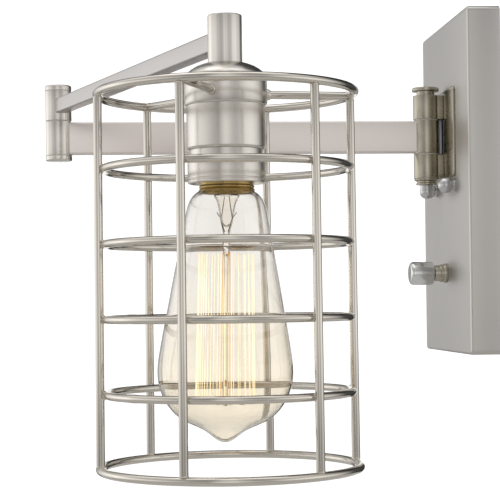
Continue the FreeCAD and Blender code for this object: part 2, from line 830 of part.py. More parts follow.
def socket_cup():
    """The spun cap and cups that carry the cage, held to the arm by a hollow nipple."""
    nipple = ring("lamp_nipple", "nipple_bore", "nipple_radius", "socket_top + 1", "lamp_barrel_bottom + 7")
    at_lamp(nipple)
    nuts = []
    for level in ("lamp_barrel_bottom + 3", "socket_top + 1.6"):
        nuts.append(at_lamp(barrel_nut(), level))
    group("lamp_nuts", nuts)

    sheet_in = "cup_wall"
    dome = turned("cap_dome", [
        ("nipple_radius", f"lamp_barrel_bottom - {sheet_in}"),
        ("nipple_radius", "lamp_barrel_bottom"),
        ("barrel_radius + 0.4", "lamp_barrel_bottom"),
        ("dome_rim_radius", "dome_rim_level"),
        ("skirt_radius", "skirt_top"),
        ("skirt_radius", "skirt_bottom"),
        ("cup_radius", "skirt_bottom"),
        ("cup_radius", f"skirt_top - {sheet_in} / 2"),
        ("dome_rim_radius - 0.4", f"dome_rim_level - {sheet_in}"),
        ("barrel_radius + 0.4", f"lamp_barrel_bottom - {sheet_in}"),
    ])
    round_edges(dome, "2.4", lambda edge: is_ring(edge, "dome_rim_radius", "dome_rim_level"))
    round_edges(dome, "1.6", lambda edge: is_ring(edge, "skirt_radius", "skirt_top"))
    at_lamp(dome)

    inside = "(cup_radius - cup_wall)"
    lid = "skirt_top - 2.4"
    cup = turned("upper_cup", [
        (inside, "cup_bottom"),
        ("cup_radius", "cup_bottom"),
        ("cup_radius", lid),
        ("nipple_radius", lid),
        ("nipple_radius", f"{lid} - cup_wall"),
        (inside, f"{lid} - cup_wall"),
    ])
    at_lamp(cup)

    neck = f"({inside} - running_gap)"
    lower = turned("lower_cup", [
        ("socket_radius", "lower_cup_bottom + 1"),
        ("socket_radius", "cup_bottom + 7"),
        (neck, "cup_bottom + 7"),
        (neck, "lower_cup_top"),
        ("lower_cup_radius", "lower_cup_top"),
        ("lower_cup_radius", "lower_cup_bottom"),
        ("lower_cup_radius - 1.1", "lower_cup_bottom"),
        ("lower_cup_radius - 1.1", "lower_cup_bottom + 1"),
    ])
    round_edges(lower, "0.7", lambda edge: is_ring(edge, "lower_cup_radius", "lower_cup_bottom"))
    at_lamp(lower)


def socket():
    """The porcelain lamp holder with its brass screw shell, centre contact and leads."""
    web = "contact_level + 3"
    porcelain = turned("porcelain_socket", [
        ("shell_radius", "socket_bottom"),
        ("socket_radius", "socket_bottom"),
        ("socket_radius", "socket_top"),
        ("0", "socket_top"),
        ("0", web),
        ("shell_radius", web),
    ])
    round_edges(porcelain, "1", lambda edge: is_ring(edge, "socket_radius", "socket_top"))
    channels = new_sketch(porcelain, "XY_Plane", "socket_top")
    for sign in "-+":
        circle(channels, f"0 {sign} lead_spread", "0", "lead_radius + 0.2")
    pocket(porcelain, channels, "9")
    at_lamp(porcelain)
    at_lamp(ring("screw_shell", "shell_radius - shell_sheet", "shell_radius", "socket_bottom + 1", web))

    contact = new_body("centre_contact")
    sketch = new_sketch(contact, "XZ_Plane", "0 - 2.5")
    outline(sketch, [
        ("0 - 7", web),
        ("0 - 7", f"{web} - 0.5"),
        ("0 - 3", f"{web} - 0.5"),
        ("0 - 1.5", "contact_level + 0.3"),
        ("1.5", "contact_level + 0.3"),
        ("3", "contact_level + 1"),
        ("3", "contact_level + 1.5"),
        ("1.2", "contact_level + 0.8"),
        ("0 - 1.1", "contact_level + 0.8"),
        ("0 - 2.7", web),
    ])
    pad(contact, sketch, "5")
    at_lamp(contact)

    leads = []
    for side in (-1, 1):
        foot = V(side * size("lead_spread"), 0, size("socket_top") - 8)
        end = V(side * size("lead_spread"), 0, size("arm2_level"))
        leads.append(straight_wire(foot, end, size("lead_radius")))
    at_lamp(shaped("socket_leads", Part.makeCompound(leads)))


# ---------------------------------------------------------------- wire cage

def cage_rings():
    """Six welded rings; the end rings are of the thicker wire and stand over the rods."""
    rings = []
    for number in range(RING_COUNT):
        last = RING_COUNT - 1
        radius = {0: "cage_top_radius", last: "cage_bottom_radius"}.get(number, "cage_ring_radius")
        wire = "cage_wire" if number in (0, last) else "ring_wire"
        torus = node(doc.addObject("Part::Torus", f"cage_ring_{number + 1}"), f"cage_ring_{number + 1}")
        bind(torus, "Radius1", radius)
        bind(torus, "Radius2", wire)
        level = f"cage_top_level - {number} * cage_ring_pitch"
        rings.append(place(torus, LAMP_X, LAMP_Y, level))
    return rings


def lamp_point(radius, heading, level):
    """A point about the lamp's axis, in numbers."""
    angle = math.radians(heading)
    return V(size(LAMP_X) + radius * math.cos(angle), size(LAMP_Y) + radius * math.sin(angle), level)


def cage_rods(rings):
    """Six rods between the end rings, notched where the rings are sunk into them by the weld.

    Every second rod stands under a spoke, so it stops at the underside of the spoke.
    """
    top = size("cage_top_level")
    bottom = top - (RING_COUNT - 1) * size("cage_ring_pitch")
    all_rings = doc.addObject("Part::Compound", "all_rings")
    all_rings.Links = rings
    for number in range(ROD_COUNT):
        heading = size("rod_heading") + number * 360 / ROD_COUNT
        low = lamp_point(size("cage_bottom_radius"), heading, bottom)
        high = lamp_point(size("cage_top_radius"), heading, top)
        under_spoke = number % 2 == 0
        length = "cage_ring_pitch * 5 - cage_wire - running_gap" if under_spoke else "cage_ring_pitch * 5"
        bar = cylinder("cage_wire", length)
        bar.Placement = FreeCAD.Placement(low, FreeCAD.Rotation(UP, high - low))
        node(cut(bar, all_rings), f"cage_rod_{number + 1}")


def cage_spokes(rings):
    """Three spokes from the top ring in to the skirt of the cap."""
    spokes = []
    for number in range(SPOKE_COUNT):
        heading = size("rod_heading") + number * 360 / SPOKE_COUNT
        bar = cylinder("spoke_wire", "cage_top_radius - skirt_radius + 2")
        start = lamp_point(size("skirt_radius") - 2, heading, size("cage_top_level"))
        outward = lamp_point(size("cage_top_radius"), heading, size("cage_top_level")) - start
        bar.Placement = FreeCAD.Placement(start, FreeCAD.Rotation(UP, outward))
        core = at_lamp(cylinder("skirt_radius", "cage_wire * 4"), "cage_top_level - cage_wire * 2")
        spokes.append(cut(cut(bar, rings[0]), core))
    group("cage_spokes", spokes)


# ---------------------------------------------------------------- bulb

def glass_points(radius, length, neck):
    return [V(share * radius, 0, neck - along * length) for share, along in GLASS_OUTLINE]


def bulb_glass():
    """The blown envelope: a spline outline and the same outline a wall thickness inside it."""
    neck = size("bulb_neck_level")
    length = neck - size("bulb_tip_level")
    wall = size("bulb_glass")
    outer = Part.BSplineCurve()
    outer.interpolate(glass_points(size("bulb_radius"), length, neck))
    inner = Part.BSplineCurve()
    inner.interpolate(glass_points(size("bulb_radius") - wall, length - wall, neck))
    rim = Part.LineSegment(inner.StartPoint, outer.StartPoint)
    axis = Part.LineSegment(outer.EndPoint, inner.EndPoint)
    section = Part.Face(Part.Wire([inner.toShape(), rim.toShape(), outer.toShape(), axis.toShape()]))
    glass = section.revolve(V(0, 0, 0), UP, 360)
    at_lamp(shaped("bulb_glass", glass))


def bulb_base():
    """The screw base: threaded brass, a black glass insulator and the tip contact."""
    low = "bulb_neck_level - 0.6"
    thread_low = "bulb_neck_level + 3.4"
    root = "base_radius - base_crest"
    neck = "bulb_radius * 0.4"
    corners = [(f"{root} - 0.4", low), (f"{root} + 0.35", low), (f"{root} + 0.35", f"{thread_low} - 0.6")]
    for turn in range(THREAD_TURNS):
        corners.append((root, f"{thread_low} + {turn} * base_pitch"))
        corners.append(("base_radius", f"{thread_low} + ({turn} + 0.35) * base_pitch"))
        corners.append(("base_radius", f"{thread_low} + ({turn} + 0.65) * base_pitch"))
    corners.append((root, f"{thread_low} + {THREAD_TURNS} * base_pitch"))
    corners.append(("7.5", "base_top"))
    corners.append(("7.2", "base_top - 0.4"))
    corners.append((f"{root} - 0.45", f"{thread_low} + {THREAD_TURNS} * base_pitch - 0.4"))
    corners.append((f"{root} - 0.45", "bulb_neck_level"))
    corners.append((f"{root} - 0.4", "bulb_neck_level"))
    at_lamp(turned("bulb_base_shell", corners))
    at_lamp(turned("bulb_insulator", [
        ("0", "base_top - 1.5"),
        ("7.1", "base_top - 0.5"),
        ("7.5", "base_top"),
        ("4", "contact_level - 0.9"),
        ("0", "contact_level - 0.9"),
    ]))
    at_lamp(turned("bulb_tip_contact", [
        ("0", "contact_level - 0.9"),
        ("4", "contact_level - 0.9"),
        ("3", "contact_level - 0.2"),
        ("0", "contact_level"),
    ]))


def bulb_inside():
    """The glass stem, the wire frame on it and the long upright filament strands."""
    neck = "bulb_neck_level"
    at_lamp(turned("bulb_stem", [
        ("0", f"{neck} + 1"),
        ("9.5", f"{neck} + 1"),
        ("9.5", f"{neck} - 1"),
        ("4", f"{neck} - 6"),
        ("3.4", f"{neck} - 13"),
        ("stem_radius", f"{neck} - 16"),
        ("stem_radius", "filament_top + 6"),
        ("stem_radius / 2", "filament_top + 4"),
        ("stem_radius / 2", "filament_bottom + 3"),
        ("stem_radius", "filament_bottom + 1"),
        ("stem_radius", "filament_bottom - 1"),
        ("0", "filament_bottom - 1"),
    ]))
    top = size("filament_top")
    bottom = size("filament_bottom")
    reach = size("filament_circle")
    thin = size("filament_radius")
    arms = []
    strands = []
    for number in range(FILAMENT_COUNT):
        angle = 2 * math.pi * number / FILAMENT_COUNT
        outward = V(math.cos(angle), math.sin(angle), 0)
        for level in (top + 7, bottom):
            if number % 2 == 0:
                arms.append(straight_wire(outward * (size("stem_radius") + 0.05) + V(0, 0, level),
                                          outward * (reach - thin * 1.2) + V(0, 0, level), thin * 0.8))
        strands.append(straight_wire(outward * (reach + thin) + V(0, 0, bottom),
                                     outward * (reach * 0.62 + thin) + V(0, 0, top), thin))
    at_lamp(shaped("filament_supports", Part.makeCompound(arms)))
    at_lamp(shaped("filament", Part.makeCompound(strands)))


# ---------------------------------------------------------------- build, check and write

def check_and_write():
    """Stop on any failed object, then write each sub-part to its own file."""
    doc.recompute()
    for item in doc.Objects:
        if "Invalid" in item.State or "Error" in item.State:
            raise RuntimeError(f"{item.Label} failed: {item.State}")
    for item in parts:
        shape = item.Shape
        if shape.isNull() or not shape.isValid() or not shape.Solids:
            raise RuntimeError(f"{item.Label} has no valid solid")
        box = shape.BoundBox
        print(f"{item.Label:22s} {len(shape.Solids):3d} solids {shape.Volume:10.1f} mm3"
              f"  x {box.XMin:7.1f} {box.XMax:7.1f}  y {box.YMin:7.1f} {box.YMax:7.1f}"
              f"  z {box.ZMin:7.1f} {box.ZMax:7.1f}")
        shape.exportStep(f"parts/{item.Label}.step")
    print(len(parts), "sub-parts")


def main():
    backplate_pan()
    mounting_bar()
    hinge_base()
    knuckle("upper_knuckle", UPPER_KNUCKLE)
    knuckle("lower_knuckle", LOWER_KNUCKLE)
    hinge_pin()
    hinge_lead()
    rotary_switch()
    pan_wiring()
    hinge_barrel()
    first_arm()
    elbow()
    second_arm()
    socket_cup()
    socket()
    rings = cage_rings()
    cage_rods(rings)
    cage_spokes(rings)
    bulb_glass()
    bulb_base()
    bulb_inside()
    check_and_write()


main()
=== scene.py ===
import json
import math

import bpy
from mathutils import Matrix, Vector


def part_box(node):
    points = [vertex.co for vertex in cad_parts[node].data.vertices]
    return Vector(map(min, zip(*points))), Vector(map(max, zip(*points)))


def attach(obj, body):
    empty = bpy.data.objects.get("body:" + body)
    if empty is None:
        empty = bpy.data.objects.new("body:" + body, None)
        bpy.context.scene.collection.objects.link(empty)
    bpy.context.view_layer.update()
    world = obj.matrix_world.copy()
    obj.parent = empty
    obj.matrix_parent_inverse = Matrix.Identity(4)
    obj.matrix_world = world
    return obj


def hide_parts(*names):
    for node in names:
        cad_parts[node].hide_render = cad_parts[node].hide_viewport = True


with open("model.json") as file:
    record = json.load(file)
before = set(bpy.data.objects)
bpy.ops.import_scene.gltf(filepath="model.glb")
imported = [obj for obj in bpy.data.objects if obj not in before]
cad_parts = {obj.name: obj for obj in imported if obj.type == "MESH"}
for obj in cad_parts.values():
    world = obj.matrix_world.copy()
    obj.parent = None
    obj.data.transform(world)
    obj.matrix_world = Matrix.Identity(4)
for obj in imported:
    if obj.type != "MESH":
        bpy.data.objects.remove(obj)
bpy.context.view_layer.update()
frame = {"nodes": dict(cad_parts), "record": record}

# Swing arm wall sconce. The frame is in metres; lengths here are in millimetres and are
# turned to metres by MM where they reach Blender.
MM = 0.001


# ---------------------------------------------------------------- places taken from the frame

def span(node):
    """Lowest and highest corner of a node, in mm."""
    low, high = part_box(node)
    return Vector(low) / MM, Vector(high) / MM


def middle(node):
    low, high = span(node)
    return (low + high) / 2


HINGE = middle("hinge_barrel")
ELBOW = middle("elbow_lower_barrel")
LAMP = middle("lower_cup")
BARREL = (span("hinge_barrel")[1].x - span("hinge_barrel")[0].x) / 2
HEADING = math.atan2(LAMP.y - ELBOW.y, LAMP.x - ELBOW.x)


# ---------------------------------------------------------------- finishes

def colour(text):
    """A colour given as sRGB hex, in linear light."""
    parts = [int(text[i:i + 2], 16) / 255 for i in (0, 2, 4)]
    return [p / 12.92 if p <= 0.04045 else ((p + 0.055) / 1.055) ** 2.4 for p in parts] + [1]


def dimmed(tone, share):
    """A colour with its light cut to a share."""
    return [c * share for c in colour(tone)[:3]] + [1]


def add(tree, kind, settings=(), stops=(), **choices):
    """Add a node. Settings are (input, value or the output socket to link) pairs, and stops are
    the (place, grey value) pairs of a ramp."""
    made = tree.nodes.new("ShaderNode" + kind)
    for _ in stops[2:]:
        made.color_ramp.elements.new(1.0)
    for number, (place, value) in enumerate(stops):
        made.color_ramp.elements[number].position = place
        made.color_ramp.elements[number].color = (value, value, value, 1)
    for key, value in choices.items():
        setattr(made, key, value)
    for key, value in settings:
        if isinstance(value, bpy.types.NodeSocket):
            tree.links.new(value, made.inputs[key])
        else:
            made.inputs[key].default_value = value
    return made


def finish_named(name):
    """A new material with an empty tree and its output node."""
    made = bpy.data.materials.new(name)
    made.use_nodes = True
    made.node_tree.nodes.clear()
    return made, made.node_tree, add(made.node_tree, "OutputMaterial")


def grain(tree, stretch, turn=0.0, scale=1.0, detail=3.0):
    """Noise on object coordinates, stretched: each number of stretch is in features to the metre."""
    where = add(tree, "TexCoord")
    placed = add(tree, "Mapping", [("Vector", where.outputs["Object"]), ("Rotation", (0, 0, turn)),
                                   ("Scale", stretch)])
    return add(tree, "TexNoise", [("Vector", placed.outputs[0]), ("Scale", scale), ("Detail", detail)])


def brushed_nickel(name, stretch, turn=0.0, tone="D6D1C9", rough=(0.23, 0.27), deep=0.0015):
    """Satin nickel plate over steel. Fine abrasive lines run one way, about 0.15 mm apart on the
    real part and drawn at about 0.5 mm so that they show. They spread the highlights across the
    lines, and the plate varies a little in tone, as handled and lacquered nickel does."""
    made, tree, out = finish_named(name)
    lines = grain(tree, stretch, turn)
    cloud = grain(tree, (14, 14, 14), detail=4.0)
    mixed = add(tree, "Mix", [(0, cloud.outputs["Fac"]), (6, dimmed(tone, 0.94)), (7, colour(tone))],
                data_type="RGBA")
    streak = add(tree, "MapRange", [("Value", lines.outputs["Fac"]), (1, 0.3), (2, 0.7),
                                    (3, 0.985), (4, 1.01)])
    toned = add(tree, "Mix", [(0, 1.0), (6, mixed.outputs[2]), (7, streak.outputs[0])],
                data_type="RGBA", blend_type="MULTIPLY")
    matt = add(tree, "MapRange", [("Value", lines.outputs["Fac"]), (1, 0.25), (2, 0.75),
                                  (3, rough[0]), (4, rough[1])])
    relief = add(tree, "Bump", [("Height", lines.outputs["Fac"]), ("Strength", 0.35),
                                ("Distance", deep * MM)])
    body = add(tree, "BsdfPrincipled", [("Base Color", toned.outputs[2]), ("Metallic", 1.0),
                                        ("Roughness", matt.outputs[0]), ("Normal", relief.outputs[0])])
    tree.links.new(body.outputs[0], out.inputs[0])
    return made


def plain_metal(name, tone, rough, spots, uneven=0.85, deep=0.004):
    """A metal whose tone and gloss vary in soft spots: plated, stamped or polished."""
    made, tree, out = finish_named(name)
    cloud = grain(tree, (spots, spots, spots), detail=5.0)
    mixed = add(tree, "Mix", [(0, cloud.outputs["Fac"]), (6, dimmed(tone, uneven)), (7, colour(tone))],
                data_type="RGBA")
    matt = add(tree, "MapRange", [("Value", cloud.outputs["Fac"]), (1, 0.3), (2, 0.7),
                                  (3, rough[0]), (4, rough[1])])
    relief = add(tree, "Bump", [("Height", cloud.outputs["Fac"]), ("Strength", 0.3),
                                ("Distance", deep * MM)])
    body = add(tree, "BsdfPrincipled", [("Base Color", mixed.outputs[2]), ("Metallic", 1.0),
                                        ("Roughness", matt.outputs[0]), ("Normal", relief.outputs[0])])
    tree.links.new(body.outputs[0], out.inputs[0])
    return made


def moulded(name, tone, rough, ior, spots=900.0, uneven=0.9, deep=0.01, coat=0.0):
    """A moulded or fired non-metal with a faint surface texture."""
    made, tree, out = finish_named(name)
    cloud = grain(tree, (spots, spots, spots), detail=4.0)
    mixed = add(tree, "Mix", [(0, cloud.outputs["Fac"]), (6, dimmed(tone, uneven)), (7, colour(tone))],
                data_type="RGBA")
    matt = add(tree, "MapRange", [("Value", cloud.outputs["Fac"]), (3, rough[0]), (4, rough[1])])
    relief = add(tree, "Bump", [("Height", cloud.outputs["Fac"]), ("Strength", 0.3),
                                ("Distance", deep * MM)])
    body = add(tree, "BsdfPrincipled", [("Base Color", mixed.outputs[2]), ("IOR", ior),
                                        ("Coat Weight", coat),
                                        ("Roughness", matt.outputs[0]), ("Normal", relief.outputs[0])])
    tree.links.new(body.outputs[0], out.inputs[0])
    return made


def blown_glass(name, neck, tip, ior=1.5):
    """Blown soda glass with a faint warm wash that deepens towards the tip. Very slight waves from
    blowing bend what is seen through it."""
    made, tree, out = finish_named(name)
    where = add(tree, "TexCoord")
    height = add(tree, "SeparateXYZ", [(0, where.outputs["Object"])])
    low, high = span("bulb_glass")
    down = add(tree, "MapRange", [("Value", height.outputs["Z"]), (1, (high.z - 12) * MM),
                                  (2, (low.z + 10) * MM)], interpolation_type="SMOOTHSTEP")
    tint = add(tree, "Mix", [(0, down.outputs[0]), (6, colour(neck)), (7, colour(tip))], data_type="RGBA")
    waves = grain(tree, (35, 35, 12), detail=1.0)
    relief = add(tree, "Bump", [("Height", waves.outputs["Fac"]), ("Strength", 0.25),
                                ("Distance", 0.25 * MM)])
    body = add(tree, "BsdfPrincipled", [("Base Color", tint.outputs[2]), ("Transmission Weight", 1.0),
                                        ("IOR", ior), ("Roughness", 0.0), ("Normal", relief.outputs[0])])
    tree.links.new(body.outputs[0], out.inputs[0])
    return made


def hot_wire(name, core, ends_tone, glow_low, glow_high):
    """Filament at low brightness: amber at its cooler ends, paler in the middle of its length."""
    made, tree, out = finish_named(name)
    where = add(tree, "TexCoord")
    height = add(tree, "SeparateXYZ", [(0, where.outputs["Object"])])
    low, high = span("filament")
    along = add(tree, "MapRange", [("Value", height.outputs["Z"]), (1, low.z * MM), (2, high.z * MM)])
    flicker = grain(tree, (300, 300, 40), detail=2.0)
    ends = add(tree, "Math", [(0, along.outputs[0]), (1, 0.5)], operation="SUBTRACT")
    spread = add(tree, "Math", [(0, ends.outputs[0])], operation="ABSOLUTE")
    cool = add(tree, "MapRange", [("Value", spread.outputs[0]), (1, 0.3), (2, 0.5)])
    glow = add(tree, "Mix", [(0, cool.outputs[0]), (6, colour(core)), (7, colour(ends_tone))],
               data_type="RGBA")
    power = add(tree, "MapRange", [("Value", flicker.outputs["Fac"]), (1, 0.3), (2, 0.7),
                                   (3, glow_low), (4, glow_high)])
    body = add(tree, "BsdfPrincipled", [("Base Color", colour("6B4A2A")), ("Roughness", 0.5),
                                        ("Emission Color", glow.outputs[2]),
                                        ("Emission Strength", power.outputs[0])])
    tree.links.new(body.outputs[0], out.inputs[0])
    return made


# Brushed lines to the metre, counted across the brushing and along it.
ACROSS, ALONG = 1900.0, 25.0
finishes = {
    # Turned and spun parts are brushed round and round, so the lines are level rings.
    "turned": brushed_nickel("brushed_nickel_turned", (ALONG, ALONG, ACROSS)),
    # The hinge is set darker and warmer in tone than the arms.
    "hinge": brushed_nickel("brushed_nickel_hinge", (ALONG, ALONG, ACROSS), 0.0, "ADA798", (0.23, 0.28)),
    # Drawn wire is smooth before it is plated, so it is the glossiest of the nickel.
    "wire": brushed_nickel("brushed_nickel_wire", (150, 150, 60), 0.0, "D2CCC2", (0.11, 0.14), 0.0005),
    # The tubes are brushed along their length and look flat and soft.
    # The first arm's copy of the tube nickel is toned lighter than the second's: painted light.
    "arm_1_painted_light": brushed_nickel("brushed_nickel_arm_1", (ACROSS, ALONG, ACROSS), 0.0, "E6DED8", (0.3, 0.36)),
    # The second arm's copy of the same nickel is toned darker: painted shade.
    "arm_2_painted_shade": brushed_nickel("brushed_nickel_arm_2", (ALONG, ACROSS, ACROSS), -HEADING, "BCB8B5",
                            (0.3, 0.36)),
    # The pan is brushed upright and is the dullest.
    "pan": brushed_nickel("brushed_nickel_pan", (ACROSS, ALONG, ALONG), 0.0, "C6C3BE", (0.34, 0.42)),
    # Chromium plate: bright, even and almost without colour.
    "polished_chrome": plain_metal("polished_chromium_plate", "D8D8D7", (0.14, 0.18), 60.0, 0.97, 0.0003),
    # The ball nuts are tumbled rather than buffed, so their one highlight is soft.
    "tumbled_nickel": plain_metal("tumbled_nickel_plate", "C6C6C6", (0.26, 0.32), 60.0, 0.96, 0.0005),
    # Zinc plate on stamped steel: cool, patchy and dull.
    "zinc_steel": plain_metal("zinc_plated_steel", "B9BDC0", (0.3, 0.5), 220.0),
    # Support wire: thin drawn nickel-iron, browned by heat.
    "support_wire": plain_metal("browned_support_wire", "8A7458", (0.3, 0.45), 300.0),
    # Lamp base brass: yellow, hazed brown in patches.
    "brass": plain_metal("lamp_base_brass", "C8AC72", (0.22, 0.4), 160.0, 0.7),
    # The ground screw is dyed green by custom.
    "green_screw": plain_metal("green_dyed_steel", "4E8A5C", (0.3, 0.45), 200.0),
    # Glazed electrical porcelain: warm white, wet looking.
    "porcelain": moulded("glazed_porcelain", "EDE9DF", (0.08, 0.16), 1.52, 120.0, 0.95, 0.004, 0.4),
    # Undyed nylon: milky and satin.
    "nylon": moulded("moulded_nylon", "D8D4C8", (0.4, 0.5), 1.53),
    # Soft vinyl wire jacket, pale cool grey with a slight sheen.
    "wire_jacket": moulded("vinyl_wire_jacket", "CDD1DA", (0.35, 0.45), 1.5),
    # Twist-on connectors: bright orange plastic.
    "connector_plastic": moulded("moulded_connector_plastic", "C9602A", (0.35, 0.45), 1.5),
    # The base insulator is glass fused black: wet looking.
    "black_glass": moulded("fused_black_glass", "121216", (0.05, 0.12), 1.55, 90.0),
    # The envelope: hardly tinted at the neck, warmer at the tip.
    "clear_glass": blown_glass("blown_clear_glass", "F3F1EE", "F6F0E4"),
    # The stem's wall is drawn thick, so it is given less power to bend light.
    "stem_glass": blown_glass("drawn_stem_glass", "FBF9F5", "FBF5E8", 1.22),
    # A dull black strip set in the hinge gap as painted shade.
    "painted_shade_black": moulded("painted_shade_sheet", "262422", (0.6, 0.7), 1.5, 300.0, 0.9, 0.002),
    # The outer strands glow a warm near white.
    "tungsten": hot_wire("glowing_filament", "FFF1CC", "FAE0A8", 1.1, 1.9),
    # The strands next to the stem glow less and read as deep amber.
    "amber_wire": hot_wire("amber_filament", "FBCF7C", "E0A048", 0.9, 1.3),
}


# ---------------------------------------------------------------- hand tools

def clear():
    """Object mode with nothing selected."""
    if bpy.context.mode != "OBJECT":
        bpy.ops.object.mode_set(mode="OBJECT")
    bpy.ops.object.select_all(action="DESELECT")


def settle(piece):
    """Put the object's place, turn and size into its mesh."""
    clear()
    piece.select_set(True)
    bpy.context.view_layer.objects.active = piece
    bpy.ops.object.transform_apply(location=True, rotation=True, scale=True)
    return piece


def apply(piece, kind, **settings):
    """Add a modifier, set it and apply it."""
    clear()
    piece.select_set(True)
    bpy.context.view_layer.objects.active = piece
    made = piece.modifiers.new(kind.lower(), kind)
    for key, value in settings.items():
        setattr(made, key, value)
    bpy.ops.object.modifier_apply(modifier=made.name)


def pick(piece, kind, test):
    """In edit mode, select the piece's edges or faces whose corners, in mm, pass the test."""
    clear()
    bpy.context.view_layer.objects.active = piece
    bpy.ops.object.mode_set(mode="EDIT")
    bpy.ops.mesh.select_mode(type=kind)
    bpy.ops.mesh.select_all(action="DESELECT")
    bpy.ops.object.mode_set(mode="OBJECT")
    mesh = piece.data
    for item in mesh.edges if kind == "EDGE" else mesh.polygons:
        item.select = test([mesh.vertices[i].co / MM for i in item.vertices])
    bpy.ops.object.mode_set(mode="EDIT")


def tidy_mesh(piece):
    """Merge doubled points and turn the faces outwards."""
    clear()
    bpy.context.view_layer.objects.active = piece
    bpy.ops.object.mode_set(mode="EDIT")
    bpy.ops.mesh.select_all(action="SELECT")
    bpy.ops.mesh.remove_doubles(threshold=0.002 * MM)
    bpy.ops.mesh.normals_make_consistent(inside=False)
    bpy.ops.object.mode_set(mode="OBJECT")


def smooth(piece, angle=32):
    clear()
    piece.select_set(True)
    bpy.context.view_layer.objects.active = piece
    bpy.ops.object.shade_smooth_by_angle(angle=math.radians(angle))
    return piece


def joined(pieces):
    """Several pieces made one object."""
    clear()
    for piece in pieces:
        piece.select_set(True)
    bpy.context.view_layer.objects.active = pieces[0]
    bpy.ops.object.join()
    return bpy.context.view_layer.objects.active


def copied(piece, turn=0.0, centre=(0, 0), move=(0, 0, 0)):
    """A copy with its own mesh, turned about an upright axis and then moved, in mm."""
    clear()
    piece.select_set(True)
    bpy.context.view_layer.objects.active = piece
    bpy.ops.object.duplicate(linked=False)
    twin = bpy.context.active_object
    axis = Vector((centre[0], centre[1], 0)) * MM
    there = Matrix.Translation(axis + Vector(move) * MM)
    twin.matrix_world = there @ Matrix.Rotation(turn, 4, "Z") @ Matrix.Translation(-axis)
    return settle(twin)


def block(low, high):
    """A cube at its size and place."""
    clear()
    bpy.ops.mesh.primitive_cube_add(size=1, location=(low + high) / 2 * MM)
    piece = bpy.context.active_object
    piece.scale = (high - low) * MM
    return settle(piece)


def turned(corners, centre=(0, 0), round_off=0.25, segments=96, rounds=3):
    """A turned piece on a Z axis: a ring of points drawn out along its half section.

    Corners are (radius, height). A closed half section ends on the corner that it starts on.
    """
    clear()
    least = 0.001
    radius, height = max(corners[0][0], least), corners[0][1]
    bpy.ops.mesh.primitive_circle_add(vertices=segments, radius=radius * MM, fill_type="NOTHING",
                                      location=(centre[0] * MM, centre[1] * MM, height * MM))
    piece = settle(bpy.context.active_object)
    bpy.ops.object.mode_set(mode="EDIT")
    bpy.ops.mesh.select_mode(type="VERT")
    bpy.ops.mesh.select_all(action="SELECT")
    for wide, level in corners[1:]:
        wide = max(wide, least)
        bpy.ops.mesh.extrude_region_move(TRANSFORM_OT_translate={"value": (0, 0, (level - height) * MM)})
        bpy.ops.transform.resize(value=(wide / radius, wide / radius, 1),
                                 center_override=(centre[0] * MM, centre[1] * MM, level * MM))
        radius, height = wide, level
    tidy_mesh(piece)
    if round_off:
        apply(piece, "BEVEL", width=round_off * MM, segments=rounds, limit_method="ANGLE",
              angle_limit=math.radians(25), use_clamp_overlap=True)
    return smooth(piece)


def arc(centre, radius, start, end, steps):
    """Corners of a half section along an arc, angles in degrees from the outward direction."""
    return [(centre[0] + radius * math.cos(math.radians(start + (end - start) * i / steps)),
             centre[1] + radius * math.sin(math.radians(start + (end - start) * i / steps)))
            for i in range(steps + 1)]


def to_room(piece, x, z):
    """Turn a piece made on the Z axis so that it points out of the wall at (x, z)."""
    piece.rotation_euler = (math.pi / 2, 0, 0)
    piece.location = (x * MM, 0, z * MM)
    return settle(piece)


def hand_over(piece, name, body, slot, finish, *nodes):
    """Name a finished piece, give it its finish and its body, and let it stand for its CAD nodes."""
    clear()
    piece.name = name
    piece.data.name = name
    piece.data.materials.clear()
    piece.data.materials.append(finishes[finish])
    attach(piece, body)
    if nodes:
        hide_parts(*nodes)
    return piece


def weld(spot, size):
    """A small uneven weld bead at a point, in mm."""
    clear()
    bpy.ops.mesh.primitive_uv_sphere_add(segments=20, ring_count=12, radius=1, location=spot * MM)
    bead = bpy.context.active_object
    bead.scale = size * MM
    settle(bead)
    texture = bpy.data.textures.get("weld_lumps") or bpy.data.textures.new("weld_lumps", "CLOUDS")
    texture.noise_scale = 1.6 * MM
    apply(bead, "DISPLACE", texture=texture, strength=0.5 * MM, mid_level=0.5, texture_coords="LOCAL")
    return bead


def bar(start, end, radius, sides=20):
    """Round wire between two points in mm, its ends slightly domed."""
    run = end - start
    long = run.length
    dome = [(0, 0), (radius * 0.6, 0.12 * radius), (radius * 0.92, 0.35 * radius), (radius, 0.7 * radius)]
    corners = dome + [(wide, long - level) for wide, level in reversed(dome)]
    piece = turned(corners, round_off=0, segments=sides)
    piece.rotation_mode = "QUATERNION"
    piece.rotation_quaternion = Vector((0, 0, 1)).rotation_difference(run)
    piece.location = start * MM
    return settle(piece)


# ---------------------------------------------------------------- wall pan and its fittings

PAN_CORNER, PAN_EDGE, PAN_SHEET = 3, 1.6, 1.2
KNOB_SETBACK = 1.5


def wall_pan():
    """Pressed from sheet: corners rounded, the front edge drawn over a soft radius, open behind."""
    low, high = span("backplate_pan")
    pan = block(low, high)
    pick(pan, "FACE", lambda spots: all(abs(s.y - high.y) < 0.01 for s in spots))
    bpy.ops.mesh.delete(type="ONLY_FACE")
    pick(pan, "EDGE", lambda spots: abs(spots[0].y - spots[1].y) > 5)
    bpy.ops.mesh.bevel(offset=PAN_CORNER * MM, segments=6)
    pick(pan, "EDGE", lambda spots: all(abs(s.y - low.y) < 0.01 for s in spots))
    bpy.ops.mesh.bevel(offset=PAN_EDGE * MM, segments=5)
    tidy_mesh(pan)
    apply(pan, "SOLIDIFY", thickness=PAN_SHEET * MM, offset=-1)
    apply(pan, "BEVEL", width=0.15 * MM, segments=2, limit_method="ANGLE", angle_limit=math.radians(60))
    smooth(pan, 30)
    hand_over(pan, "pan_pressing", "wall_plate", "satin_nickel", "pan", "backplate_pan")


